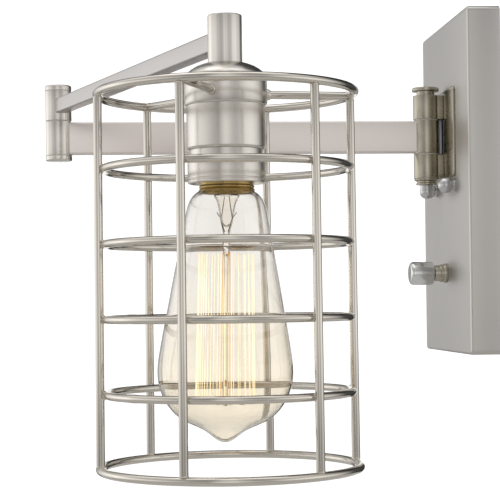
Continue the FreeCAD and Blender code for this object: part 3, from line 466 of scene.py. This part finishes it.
def cap_nuts():
    """Two ball nuts on a turned collar; they clamp the pan to the bar."""
    low, high = span("cap_nuts")
    face, tip = -span("backplate_pan")[0].y, -low.y
    big = (high.z - low.z) / 2
    corners = [(0, face), (big * 0.8, face), (big * 0.8, face + 0.8), (big * 0.68, face + 1.0)]
    corners += arc((0, tip - big), big, -46, 90, 18)
    nut = to_room(turned(corners, round_off=0.12), high.x - big, 0)
    pair = joined([nut, copied(nut, move=(low.x - high.x + 2 * big, 0, 0))])
    hand_over(pair, "ball_nuts", "wall_plate", "polished_chrome", "tumbled_nickel", "cap_nuts")


def switch_knob():
    """The turned knob, its mouth and front edge rounded."""
    low, high = span("switch_knob")
    root, tip, big = -high.y + KNOB_SETBACK, -low.y, (high.x - low.x) / 2
    corners = [(2, root), (big - 1, root), (big - 0.3, root + 0.5), (big, root + 1.3)]
    corners += arc((big - 2.4, tip - 2.4), 2.4, 0, 90, 10) + [(big * 0.4, tip - 0.1), (0, tip)]
    knob = to_room(turned(corners, round_off=0.1), 0, (low.z + high.z) / 2)
    hand_over(knob, "dimmer_knob", "switch_turn", "polished_chrome", "polished_chrome", "switch_knob")


def switch_collar():
    """The stepped collar behind the knob, which the knob's root nearly meets."""
    low, high = span("switch_ring_nut")
    face, front, big = -high.y, -low.y, (high.x - low.x) / 2
    corners = [(0, face), (big + 0.8, face), (big + 0.8, face + 1.6), (big + 0.2, face + 2.2),
               (big + 0.2, front - 0.8), (big - 0.3, front - 0.4), (big - 0.3, front + 3.0),
               (big - 0.8, front + 3.3), (0, front + 3.3)]
    collar = to_room(turned(corners, round_off=0.12), 0, (low.z + high.z) / 2)
    hand_over(collar, "switch_collar", "wall_plate", "satin_nickel", "hinge", "switch_ring_nut")


# ---------------------------------------------------------------- wall hinge

HINGE_AXIS = (HINGE.x, HINGE.y)
FOOT_CORNER = 3
KNUCKLE_NECK = 4.5  # half its width
PIN, PIN_NECK = 3, 5.6


def hinge_foot():
    """The flat foot that the knuckles stand on."""
    low, high = span("hinge_base")
    foot = block(low, high)
    pick(foot, "EDGE", lambda spots: abs(spots[0].y - spots[1].y) > 1)
    bpy.ops.mesh.bevel(offset=FOOT_CORNER * MM, segments=6)
    apply(foot, "BEVEL", width=0.25 * MM, segments=2, limit_method="ANGLE", angle_limit=math.radians(50))
    hand_over(smooth(foot), "hinge_foot", "wall_plate", "satin_nickel", "hinge", "hinge_base")


def knuckles():
    """Two like knuckles, each joined to the foot by a square neck."""
    low, high = span("upper_knuckle")
    upper = turned([(0, low.z), (BARREL, low.z), (BARREL, high.z), (0, high.z)], HINGE_AXIS, 0.35)
    neck = block(Vector((-KNUCKLE_NECK, HINGE.y + PIN, low.z)), Vector((KNUCKLE_NECK, high.y, high.z)))
    apply(neck, "BEVEL", width=0.5 * MM, segments=3, limit_method="ANGLE", angle_limit=math.radians(50))
    apply(upper, "BOOLEAN", object=neck, operation="UNION", solver="EXACT")
    bpy.data.objects.remove(neck)
    lower = copied(smooth(upper), move=(0, 0, span("lower_knuckle")[0].z - low.z))
    hand_over(upper, "upper_hinge_knuckle", "wall_plate", "satin_nickel", "hinge", "upper_knuckle")
    hand_over(lower, "lower_hinge_knuckle", "wall_plate", "satin_nickel", "hinge", "lower_knuckle")


def hinge_lead():
    """The lead in the gap behind the arm's barrel, with a dull black strip beside it as painted shade in the
    gap.
    """
    low, high = span("hinge_lead")
    wire = (high.x - low.x) / 2
    behind = (low.y + wire, span("lower_knuckle")[1].z + 0.2, span("upper_knuckle")[0].z - 0.2)
    lead = bar(Vector((0, behind[0], behind[1])), Vector((0, behind[0], behind[2])), wire)
    hand_over(lead, "hinge_wire_lead", "wall_plate", "wire_jacket", "wire_jacket", "hinge_lead")
    gap = (HINGE.y + BARREL + 0.1, span("hinge_base")[0].y)
    # The dull black strip in the gap beside the lead is painted shade, where the barrel and foot only cast
    # shadow.
    strip = block(Vector((-KNUCKLE_NECK, gap[0], behind[1])), Vector((-wire - 0.4, gap[1], behind[2])))
    apply(strip, "BEVEL", width=0.2 * MM, segments=2, limit_method="ANGLE", angle_limit=math.radians(50))
    hand_over(smooth(strip), "painted_shade_strip", "wall_plate", "wire_jacket", "painted_shade_black")


def hinge_barrel():
    """The first arm's barrel, between the knuckles."""
    low, high = span("hinge_barrel")
    barrel = turned([(0, low.z), (BARREL, low.z), (BARREL, high.z), (0, high.z)], HINGE_AXIS, 0.35)
    hand_over(barrel, "arm_hinge_barrel", "lower_arm", "satin_nickel", "hinge", "hinge_barrel")


def hinge_pin():
    """The headed pin, with the stepped collar and ball nut below it."""
    low, high = span("hinge_pin")
    big = (high.x - low.x) / 2
    neck_low = span("upper_knuckle")[1].z
    corners = [(0, low.z), (PIN, low.z), (PIN, neck_low), (PIN_NECK, neck_low), (PIN_NECK, high.z - 2.4),
               (big - 0.6, high.z - 2.4)]
    corners += arc((big - 0.6, high.z - 1.8), 0.6, -90, 0, 4) + arc((big - 1.0, high.z - 1.0), 1.0, 0, 80, 5)
    corners += [(big * 0.5, high.z), (0, high.z)]
    pin = turned(corners, HINGE_AXIS, 0.12)
    hand_over(pin, "headed_hinge_pin", "wall_plate", "satin_nickel", "hinge", "hinge_pin")

    low, high = span("hinge_collar")
    corners = [(0, low.z), (6.7, low.z), (6.8, low.z + 0.9), (6.1, low.z + 1.3), (6.1, low.z + 2.2),
               (7.2, low.z + 2.6), (7.8, low.z + 3.2), (7.8, high.z), (0, high.z)]
    collar = turned(corners, HINGE_AXIS, 0.15)
    hand_over(collar, "hinge_end_collar", "wall_plate", "satin_nickel", "hinge", "hinge_collar")
    low, high = span("hinge_acorn_nut")
    big = (high.x - low.x) / 2
    corners = [(0, high.z), (big * 0.9, high.z), (big * 0.9, high.z - 1.6)]
    corners += arc((0, low.z + big), big, 12, -90, 14)
    nut = turned(corners, HINGE_AXIS, 0.12)
    hand_over(nut, "hinge_ball_nut", "wall_plate", "polished_chrome", "tumbled_nickel", "hinge_acorn_nut")


# ---------------------------------------------------------------- arms and elbow

LET_IN = 1.1  # how far a tube's end lies inside the skin of its barrel
ARM_1_EDGE, ARM_2_EDGE = 1.2, 1.0
DISC = 3.4  # thickness of the elbow's end discs


def arms():
    """Two rectangular tubes with softly rounded edges, let into the barrels at their ends."""
    low, high = span("arm1_tube")
    reach = BARREL - LET_IN
    tube = block(Vector((low.x, ELBOW.y + reach, low.z)), Vector((high.x, HINGE.y - reach, high.z)))
    pick(tube, "EDGE", lambda spots: abs(spots[0].y - spots[1].y) > 5)
    bpy.ops.mesh.bevel(offset=ARM_1_EDGE * MM, segments=5)
    hand_over(smooth(tube), "first_arm_tube", "lower_arm", "satin_nickel", "arm_1_painted_light", "arm1_tube")

    low, high = span("arm2_tube")
    long = math.hypot(LAMP.x - ELBOW.x, LAMP.y - ELBOW.y)
    tube = block(Vector((reach, -4, low.z)), Vector((long - reach, 4, high.z)))
    pick(tube, "EDGE", lambda spots: abs(spots[0].x - spots[1].x) > 5)
    bpy.ops.mesh.bevel(offset=ARM_2_EDGE * MM, segments=5)
    clear()
    tube.rotation_euler = (0, 0, HEADING)
    tube.location = (ELBOW.x * MM, ELBOW.y * MM, 0)
    settle(tube)
    hand_over(smooth(tube), "second_arm_tube", "upper_arm", "satin_nickel", "arm_2_painted_shade", "arm2_tube")


def elbow():
    """Two barrels, each closed at its far end by a disc over a fine shadow line."""
    axis = (ELBOW.x, ELBOW.y)
    for name, body, cap, up in (("elbow_lower_barrel", "lower_arm", "elbow_bottom_cap", -1),
                                ("elbow_upper_barrel", "upper_arm", "elbow_top_cap", 1)):
        low, high = span(name)
        far = span(cap)[1].z if up > 0 else span(cap)[0].z
        seam = far - up * DISC
        ends = (low.z, seam) if up > 0 else (seam, high.z)
        barrel = turned([(0, ends[0]), (BARREL, ends[0]), (BARREL, ends[1]), (0, ends[1])], axis, 0.3)
        hand_over(barrel, name.replace("elbow", "turned_elbow"), body, "satin_nickel", "turned", name)
        rim = arc((BARREL - 1.0, far - up * 1.0), 1.0, 0, up * 90, 6)
        corners = [(0, seam), (BARREL - 0.3, seam), (BARREL, seam + up * 0.35)] + rim + [(0, far)]
        disc = turned(corners, axis, 0)
        hand_over(disc, cap.replace("_cap", "_disc"), body, "satin_nickel", "turned", cap)


def lamp_post():
    """The short barrel at the lamp end of the second arm."""
    low, high = span("lamp_barrel")
    corners = [(0, low.z), (BARREL, low.z)] + arc((BARREL - 0.7, high.z - 0.7), 0.7, 0, 90, 5)
    corners += [(BARREL - 1.4, high.z), (BARREL - 1.7, high.z - 0.35), (0, high.z - 0.35)]
    post = turned(corners, (LAMP.x, LAMP.y), 0.1)
    hand_over(post, "lamp_end_barrel", "upper_arm", "satin_nickel", "turned", "lamp_barrel")


# ---------------------------------------------------------------- socket cup

LAMP_AXIS = (LAMP.x, LAMP.y)


def domed_cap():
    """The spun cap at the top, with its skirt over the upper cup."""
    low, high = span("cap_dome")
    big = (high.x - low.x) / 2
    inner = big - 1
    top = span("lamp_barrel")[0].z
    corners = [(BARREL - 2, top), (BARREL + 1, top)]
    corners += [(11.5, top - 0.8), (14.2, top - 1.9), (16.4, top - 3.3), (18.0, top - 4.7)]
    corners += [(19.0, top - 6.0), (big, top - 7.2), (big, low.z + 1.4), (big - 0.5, low.z + 0.3),
                (inner, low.z), (inner - 0.2, top - 7.4), (16, top - 4.4), (11, top - 2),
                (BARREL - 2, top - 1.2), (BARREL - 2, top)]
    cap = turned(corners, LAMP_AXIS, 0.18)
    hand_over(cap, "spun_cap", "upper_arm", "satin_nickel", "turned", "cap_dome")


def upper_cup():
    """The spun upper cup, its foot turned in."""
    low, high = span("upper_cup")
    big = (high.x - low.x) / 2
    corners = [(big - 1, high.z), (big, high.z), (big, low.z + 1.2), (big - 0.5, low.z + 0.3),
               (big - 1.2, low.z), (8, low.z), (8, low.z + 1), (big - 1, low.z + 1), (big - 1, high.z)]
    cup = turned(corners, LAMP_AXIS, 0.12)
    hand_over(cup, "spun_upper_cup", "upper_arm", "satin_nickel", "turned", "upper_cup")


def lower_cup():
    """The lower cup, necked in under the upper one and with a fine groove near its foot."""
    low, high = span("lower_cup")
    big = (high.x - low.x) / 2
    corners = [(big - 1, low.z), (big - 0.25, low.z), (big, low.z + 0.5), (big, low.z + 2.0),
               (big - 0.15, low.z + 2.2), (big, low.z + 2.4), (big, low.z + 11.0), (big - 0.3, low.z + 11.7),
               (big - 0.8, low.z + 11.7), (big - 1.2, low.z + 12.1), (big - 1.2, high.z), (9, high.z),
               (9, high.z - 0.6), (big - 1.7, high.z - 0.6), (big - 1.7, low.z + 11.0),
               (big - 1, low.z + 10.5), (big - 1, low.z)]
    cup = turned(corners, LAMP_AXIS, 0.12)
    hand_over(cup, "spun_lower_cup", "upper_arm", "satin_nickel", "turned", "lower_cup")


# ---------------------------------------------------------------- wire cage

# How far round a ring its own butt weld stands. Each copied ring has its weld this much further on.
WELD_STEP = math.radians(77)
SPOKE = 1.9  # wire radius


def ring_size(node):
    """Radius, wire radius and level of a ring of the cage."""
    low, high = span(node)
    wire = (high.z - low.z) / 2
    return (high.x - low.x) / 2 - wire, wire, (high.z + low.z) / 2


def hoop(radius, wire, level):
    """A ring of round wire, with a slight swelling a few millimetres long at its own butt weld."""
    clear()
    bpy.ops.mesh.primitive_torus_add(major_radius=radius * MM, minor_radius=wire * MM, major_segments=180,
                                     minor_segments=24, location=(LAMP.x * MM, LAMP.y * MM, level * MM),
                                     rotation=(0, 0, WELD_STEP))
    piece = settle(bpy.context.active_object)
    butt = Vector((LAMP.x, LAMP.y, level)) + Vector((math.cos(WELD_STEP), math.sin(WELD_STEP), 0)) * radius
    pick(piece, "FACE", lambda spots: all((s - butt).length < 4.2 for s in spots))
    bpy.ops.transform.shrink_fatten(value=0.1 * MM)
    clear()
    return piece


OUT = Vector((1, 0, 0))
LAMP_FOOT = Vector((LAMP.x, LAMP.y, 0))
TOP_RING, SECOND_RING, LAST_RING = [ring_size(f"cage_ring_{number}") for number in (1, 2, 6)]
RING_PITCH = ring_size("cage_ring_3")[2] - SECOND_RING[2]


def rod_turn(number):
    """The heading of a rod from the lamp's axis."""
    beside = middle(f"cage_rod_{number}") - LAMP
    return math.atan2(beside.y, beside.x)


def cage_rings():
    """Six rings of round wire. The four between the end rings are alike."""
    plain = hoop(*SECOND_RING)
    hoops = [hoop(*TOP_RING), plain]
    for number in (1, 2, 3):
        hoops.append(copied(plain, number * WELD_STEP, LAMP, (0, 0, number * RING_PITCH)))
    hoops.append(hoop(*LAST_RING))
    for number, piece in enumerate(hoops, 1):
        hand_over(smooth(piece, 60), f"wire_ring_{number}", "upper_arm", "satin_nickel", "wire",
                  f"cage_ring_{number}")


def cage_rods():
    """One rod and its weld beads, made along the X side of the cage and copied round it."""
    high = Vector((TOP_RING[0], 0, TOP_RING[2] - TOP_RING[1] * 0.5))
    low = Vector((LAST_RING[0], 0, LAST_RING[2] + LAST_RING[1] * 0.5))
    end_bead, side_bead = Vector((2.15, 2.15, 0.9)), Vector((1.9, 1.9, 2.3))
    parts = [bar(LAMP_FOOT + low, LAMP_FOOT + high, TOP_RING[1])]
    parts.append(weld(LAMP_FOOT + high - Vector((0, 0, TOP_RING[1] * 0.55)), end_bead))
    parts.append(weld(LAMP_FOOT + low + Vector((0, 0, LAST_RING[1] * 0.55)), end_bead))
    for number in range(4):
        level = SECOND_RING[2] + number * RING_PITCH
        reach = high.x + (low.x - high.x) * (high.z - level) / (high.z - low.z)
        spot = LAMP_FOOT + OUT * (reach + SECOND_RING[0]) / 2 + Vector((0, 0, level))
        parts.append(weld(spot, side_bead))
    rod = smooth(joined(parts), 60)
    for number in range(1, 7):
        piece = copied(rod, rod_turn(number), LAMP)
        hand_over(piece, f"wire_rod_{number}", "upper_arm", "satin_nickel", "wire", f"cage_rod_{number}")
    bpy.data.objects.remove(rod)


def cage_spokes():
    """One spoke with a weld at each end, copied over every second rod."""
    skirt = (span("cap_dome")[1].x - span("cap_dome")[0].x) / 2
    level, far = LAMP_FOOT + Vector((0, 0, TOP_RING[2])), TOP_RING[0]
    spoke = joined([bar(level + OUT * (skirt - 1), level + OUT * (far - 1), SPOKE),
                    weld(level + OUT * (skirt + 0.4), Vector((2.3, 2.3, 2.6))),
                    weld(level + OUT * (far - SPOKE), Vector((1.7, 1.7, 2.0)))])
    spokes = [copied(spoke, rod_turn(number), LAMP) for number in (1, 3, 5)]
    bpy.data.objects.remove(spoke)
    hand_over(smooth(joined(spokes), 60), "wire_spokes", "upper_arm", "satin_nickel", "wire", "cage_spokes")


# ---------------------------------------------------------------- bulb

# The blown outline as (radius, height) in mm, from the neck down to the sealed tip.
GLASS = [(12.2, -18.1), (13.3, -18.7), (16.3, -21.0), (18.3, -24.8), (19.4, -30.5), (20.7, -38.2),
         (22.6, -47.9), (25.3, -62.0), (27.3, -74.0), (28.9, -82.0), (30.3, -90.5), (31.4, -97.0),
         (31.9, -102.5), (31.5, -107.5), (30.2, -112.6), (27.7, -117.8), (24.0, -122.3), (19.9, -125.3),
         (15.4, -127.4), (11.3, -129.0), (8.0, -131.0), (4.6, -134.0), (2.0, -135.3), (0, -135.5)]
GLASS_WALL = 0.7
THREAD_PITCH = 3.6
BUTTON = -44.6  # height of the button on the stem
STRANDS, CORES = 26, 8
STRAND_WIRE, CORE_WIRE, LEAD_IN_WIRE, ANCHOR_WIRE = 0.14, 0.17, 0.22, 0.18
STRAND_TAPER = 0.92  # how wide the strands stand at the top, against the bottom
LEAN = math.radians(-1.2)


def blown_envelope():
    """The blown glass with its wall."""
    envelope = turned(GLASS, LAMP_AXIS, 0, 64)
    apply(envelope, "SUBSURF", levels=1, render_levels=1)
    apply(envelope, "SOLIDIFY", thickness=GLASS_WALL * MM, offset=-1)
    return smooth(envelope, 60)


def screw_base():
    """The rolled brass shell: a lip, five turns of thread and a coned end."""
    low, high = span("bulb_base_shell")
    corners = [(11.6, low.z + 0.6), (12.9, low.z + 0.6), (13.2, low.z + 1.0), (12.9, low.z + 1.4),
               (12.4, low.z + 1.8), (12.9, low.z + 2.2), (12.9, low.z + 2.8), (12.3, low.z + 3.2)]
    for turn in range(5):
        start = low.z + 4 + turn * THREAD_PITCH
        corners += [(12.35, start), (12.75, start + 0.8), (13.0, start + 1.3), (13.0, start + 2.0),
                    (12.75, start + 2.5)]
    corners += [(12.3, high.z - 2), (10.5, high.z - 0.4), (7.5, high.z), (7.2, high.z - 0.5),
                (10.2, high.z - 0.9), (11.6, high.z - 2.4), (11.6, low.z + 0.6)]
    shell = turned(corners, LAMP_AXIS, 0.12, 96, 2)
    hand_over(shell, "screw_base", "bulb", "brass", "brass", "bulb_base_shell")


def glass_stem():
    """A thin flared tube, pinched to a rod with a small button on it, that reaches down the bulb."""
    bottom = span("filament")[0].z
    outside = [(6.4, -20.4), (5.0, -22.6), (4.0, -26.0), (3.4, -30.0), (2.8, -33.4), (1.8, -36.5)]
    inside = [(0, -35.4), (1.2, -34.9), (2.2, -33.0), (2.8, -29.8), (3.4, -25.8), (4.4, -22.3),
              (5.8, -20.2)]
    below = [(1.4, -41.0), (2.1, -43.4), (2.3, BUTTON), (2.0, -45.8), (1.0, -47.4), (0.9, -60.0),
             (0.9, bottom + 5), (1.6, bottom + 2.2), (1.8, bottom + 1), (1.6, bottom - 0.2),
             (0, bottom - 0.8)]
    stem = turned(inside + outside + below, LAMP_AXIS, 0, 40)
    apply(stem, "SUBSURF", levels=1, render_levels=1)
    return stem


def bulb_wire(start, end, radius, sides=8):
    """A thin wire in the bulb between two points given from the lamp's axis."""
    return bar(LAMP_FOOT + Vector(start), LAMP_FOOT + Vector(end), radius, sides)


def filament():
    """One strand with its hooks, copied round the stem, then the lead-in wires and the inner strands."""
    low, high = span("filament")
    top, bottom = high.z, low.z
    wide = (high.x - low.x) / 2 + 0.3
    strand = bulb_wire((wide, 0, bottom + 0.5), (wide * STRAND_TAPER, 0, top), STRAND_WIRE)
    hooks = []
    for level, hub in ((bottom + 0.7, 1.5), (BUTTON, 2.0)):
        share = max(0, min(1, (level - bottom) / (top - bottom)))
        reach = wide * (1 - (1 - STRAND_TAPER) * share) + 0.3
        hooks.append(bulb_wire((hub, 0, level), (reach, 0, level), STRAND_WIRE, 6))
    hook = joined(hooks)
    step = 2 * math.pi / STRANDS
    wires = [copied(strand, (number + 0.5) * step, LAMP_AXIS) for number in range(STRANDS)]
    frame_wires = [copied(hook, (number + 0.5) * step, LAMP_AXIS) for number in range(0, STRANDS, 2)]
    bpy.data.objects.remove(strand)
    bpy.data.objects.remove(hook)
    for side in (-1, 1):
        bend = (side * 1.5, side * 2.4, -31.5)
        frame_wires.append(bulb_wire((side * 1.2, side * 1.0, -21), bend, LEAD_IN_WIRE))
        frame_wires.append(bulb_wire(bend, (side * 0.7, side * 0.6, -37.5), LEAD_IN_WIRE))
        frame_wires.append(bulb_wire(bend, (side * 0.6, side * 4.6, -28.5), ANCHOR_WIRE))
    core = bulb_wire((2.3, 0, bottom + 2), (1.7, 0, top + 1), CORE_WIRE)
    cores = [copied(core, (number + 0.5) * 2 * math.pi / CORES, LAMP_AXIS) for number in range(CORES)]
    bpy.data.objects.remove(core)
    return [smooth(joined(group), 60) for group in (wires, frame_wires, cores)]


def bulb():
    """The bulb. Blown glass seldom stands true in its cap, so all below the neck leans a little."""
    envelope = blown_envelope()
    screw_base()
    stem = glass_stem()
    strands, supports, cores = filament()
    for piece in (envelope, stem, strands, supports, cores):
        pivot = Matrix.Translation(Vector((LAMP.x, LAMP.y, GLASS[0][1])) * MM)
        piece.matrix_world = pivot @ Matrix.Rotation(LEAN, 4, "X") @ pivot.inverted()
        settle(piece)
    hand_over(envelope, "blown_envelope", "bulb", "clear_glass", "clear_glass", "bulb_glass")
    hand_over(smooth(stem, 70), "glass_stem", "bulb", "clear_glass", "stem_glass", "bulb_stem")
    hand_over(cores, "inner_filament_strands", "bulb", "tungsten", "amber_wire")
    hand_over(strands, "filament_strands", "bulb", "tungsten", "tungsten", "filament")
    hand_over(supports, "filament_frame", "bulb", "tungsten", "support_wire", "filament_supports")


# ---------------------------------------------------------------- stage, light and camera

FLOOR_PLACE, FLOOR_RADIUS = (0.1, -0.13, -0.62), 1.5
BACKDROP = (1.15, 1.15, 1.15, 1)


def pale_floor():
    """A pale round floor well below the lamp."""
    clear()
    bpy.ops.mesh.primitive_circle_add(vertices=128, radius=FLOOR_RADIUS, fill_type="NGON",
                                      location=FLOOR_PLACE)
    floor = bpy.context.active_object
    floor.name = "floor"
    made, tree, out = finish_named("matt_white_floor")
    cloud = grain(tree, (6, 6, 6), detail=3.0)
    mixed = add(tree, "Mix", [(0, cloud.outputs["Fac"]), (6, colour("EDECE9")),
                              (7, colour("F2F1EF"))], data_type="RGBA")
    body = add(tree, "BsdfPrincipled", [("Base Color", mixed.outputs[2]), ("Roughness", 0.8)])
    tree.links.new(body.outputs[0], out.inputs[0])
    floor.data.materials.append(made)


def surroundings():
    """A studio of soft boxes, drawn on the surroundings by direction."""
    world = bpy.data.worlds.new("studio")
    bpy.context.scene.world = world
    world.use_nodes = True
    tree = world.node_tree
    tree.nodes.clear()
    out = add(tree, "OutputWorld")
    where = add(tree, "TexCoord")
    facing = add(tree, "SeparateXYZ", [(0, where.outputs["Generated"])])
    around = add(tree, "Math", [(0, facing.outputs["Y"]), (1, facing.outputs["X"])], operation="ARCTAN2")
    turn = add(tree, "MapRange", [("Value", around.outputs[0]), (1, -math.pi), (2, math.pi)])
    rise = add(tree, "MapRange", [("Value", facing.outputs["Z"]), (1, -1.0), (2, 1.0)])

    # Round the room: a long soft box to the left, a narrow one by the viewer and another to the
    # right, with dimmer gaps between. 0.5 is straight out along +X and 0.25 is along -Y.
    boxes = add(tree, "ValToRGB", [("Fac", turn.outputs[0])], stops=[
        (0.0, 0.10), (0.035, 0.32), (0.08, 0.90), (0.12, 1.30), (0.175, 1.60), (0.245, 1.15), (0.30, 1.05),
        (0.35, 0.85), (0.395, 0.62), (0.435, 0.56), (0.465, 1.05), (0.495, 1.15), (0.52, 0.88), (0.55, 0.68),
        (0.58, 0.64), (0.61, 0.92), (0.66, 1.20), (0.71, 1.25), (0.765, 0.95), (0.81, 0.45), (0.84, 0.10),
        (0.92, 0.05), (1.0, 0.10)])
    # Up and down: brightest about the level, dimmer above it, bright again overhead, dim underfoot.
    heights = add(tree, "ValToRGB", [("Fac", rise.outputs[0])], stops=[
        (0.0, 0.15), (0.25, 0.18), (0.38, 0.60), (0.46, 1.0), (0.60, 1.0), (0.70, 0.55), (0.85, 0.70),
        (1.0, 0.95)])
    # The white backdrop fills only the part of the surroundings behind the lamp, towards -X.
    back = add(tree, "ValToRGB", [("Fac", turn.outputs[0])], stops=[
        (0.0, 1.0), (0.013, 1.0), (0.024, 0.0), (0.94, 0.0), (0.952, 1.0), (1.0, 1.0)])
    band = add(tree, "ValToRGB", [("Fac", rise.outputs[0])], stops=[
        (0.0, 0.0), (0.40, 0.0), (0.42, 1.0), (0.615, 1.0), (0.64, 0.0), (1.0, 0.0)])
    studio = add(tree, "Mix", [(0, 1.0), (6, boxes.outputs[0]), (7, heights.outputs[0])],
                 data_type="RGBA", blend_type="MULTIPLY")
    window = add(tree, "Mix", [(0, 1.0), (6, back.outputs[0]), (7, band.outputs[0])],
                 data_type="RGBA", blend_type="MULTIPLY")
    lit = add(tree, "Mix", [(0, window.outputs[2]), (6, studio.outputs[2]), (7, BACKDROP)],
              data_type="RGBA")
    sky = add(tree, "Background", [("Color", lit.outputs[2]), ("Strength", 1.0)])
    tree.links.new(sky.outputs[0], out.inputs[0])


def top_box():
    """One soft round light overhead."""
    lamp = bpy.data.lights.new("top_box", "AREA")
    lamp.shape = "DISK"
    lamp.size = 1.6
    lamp.energy = 4.0
    holder = bpy.data.objects.new("top_box", lamp)
    bpy.context.scene.collection.objects.link(holder)
    holder.location = (0.15, -0.2, 1.5)


VIEW_PLACE = (0.96994, -0.23596, -0.06947)
VIEW_TURN = math.radians(90 - 5.318)
VIEW_ROLL = -0.01356


def camera():
    """A long lens, level, nearly in line with the wall and tipped a hair to one side."""
    data = bpy.data.cameras.new("view")
    data.sensor_width = 36
    data.lens = 111.64
    data.shift_y = 0.1002
    data.clip_start = 0.05
    holder = bpy.data.objects.new("view", data)
    bpy.context.scene.collection.objects.link(holder)
    holder.location = VIEW_PLACE
    holder.rotation_euler = (math.radians(90), 0, VIEW_TURN)
    holder.rotation_euler.rotate_axis("Z", VIEW_ROLL)
    bpy.context.scene.camera = holder


wall_pan()
cap_nuts()
switch_knob()
switch_collar()
hinge_foot()
knuckles()
hinge_lead()
hinge_barrel()
hinge_pin()
arms()
elbow()
lamp_post()
domed_cap()
upper_cup()
lower_cup()
cage_rings()
cage_rods()
cage_spokes()
bulb()
pale_floor()
surroundings()
top_box()
camera()
bpy.context.scene.view_settings.view_transform = "Standard"

# CAD nodes that keep their own shape take the finish of their slot.
for part in frame["record"]["subparts"]:
    node = frame["nodes"][part["node"]]
    finish = finishes.get(part["material_slot"], finishes["turned"])
    for holder in node.material_slots:
        holder.material = finish
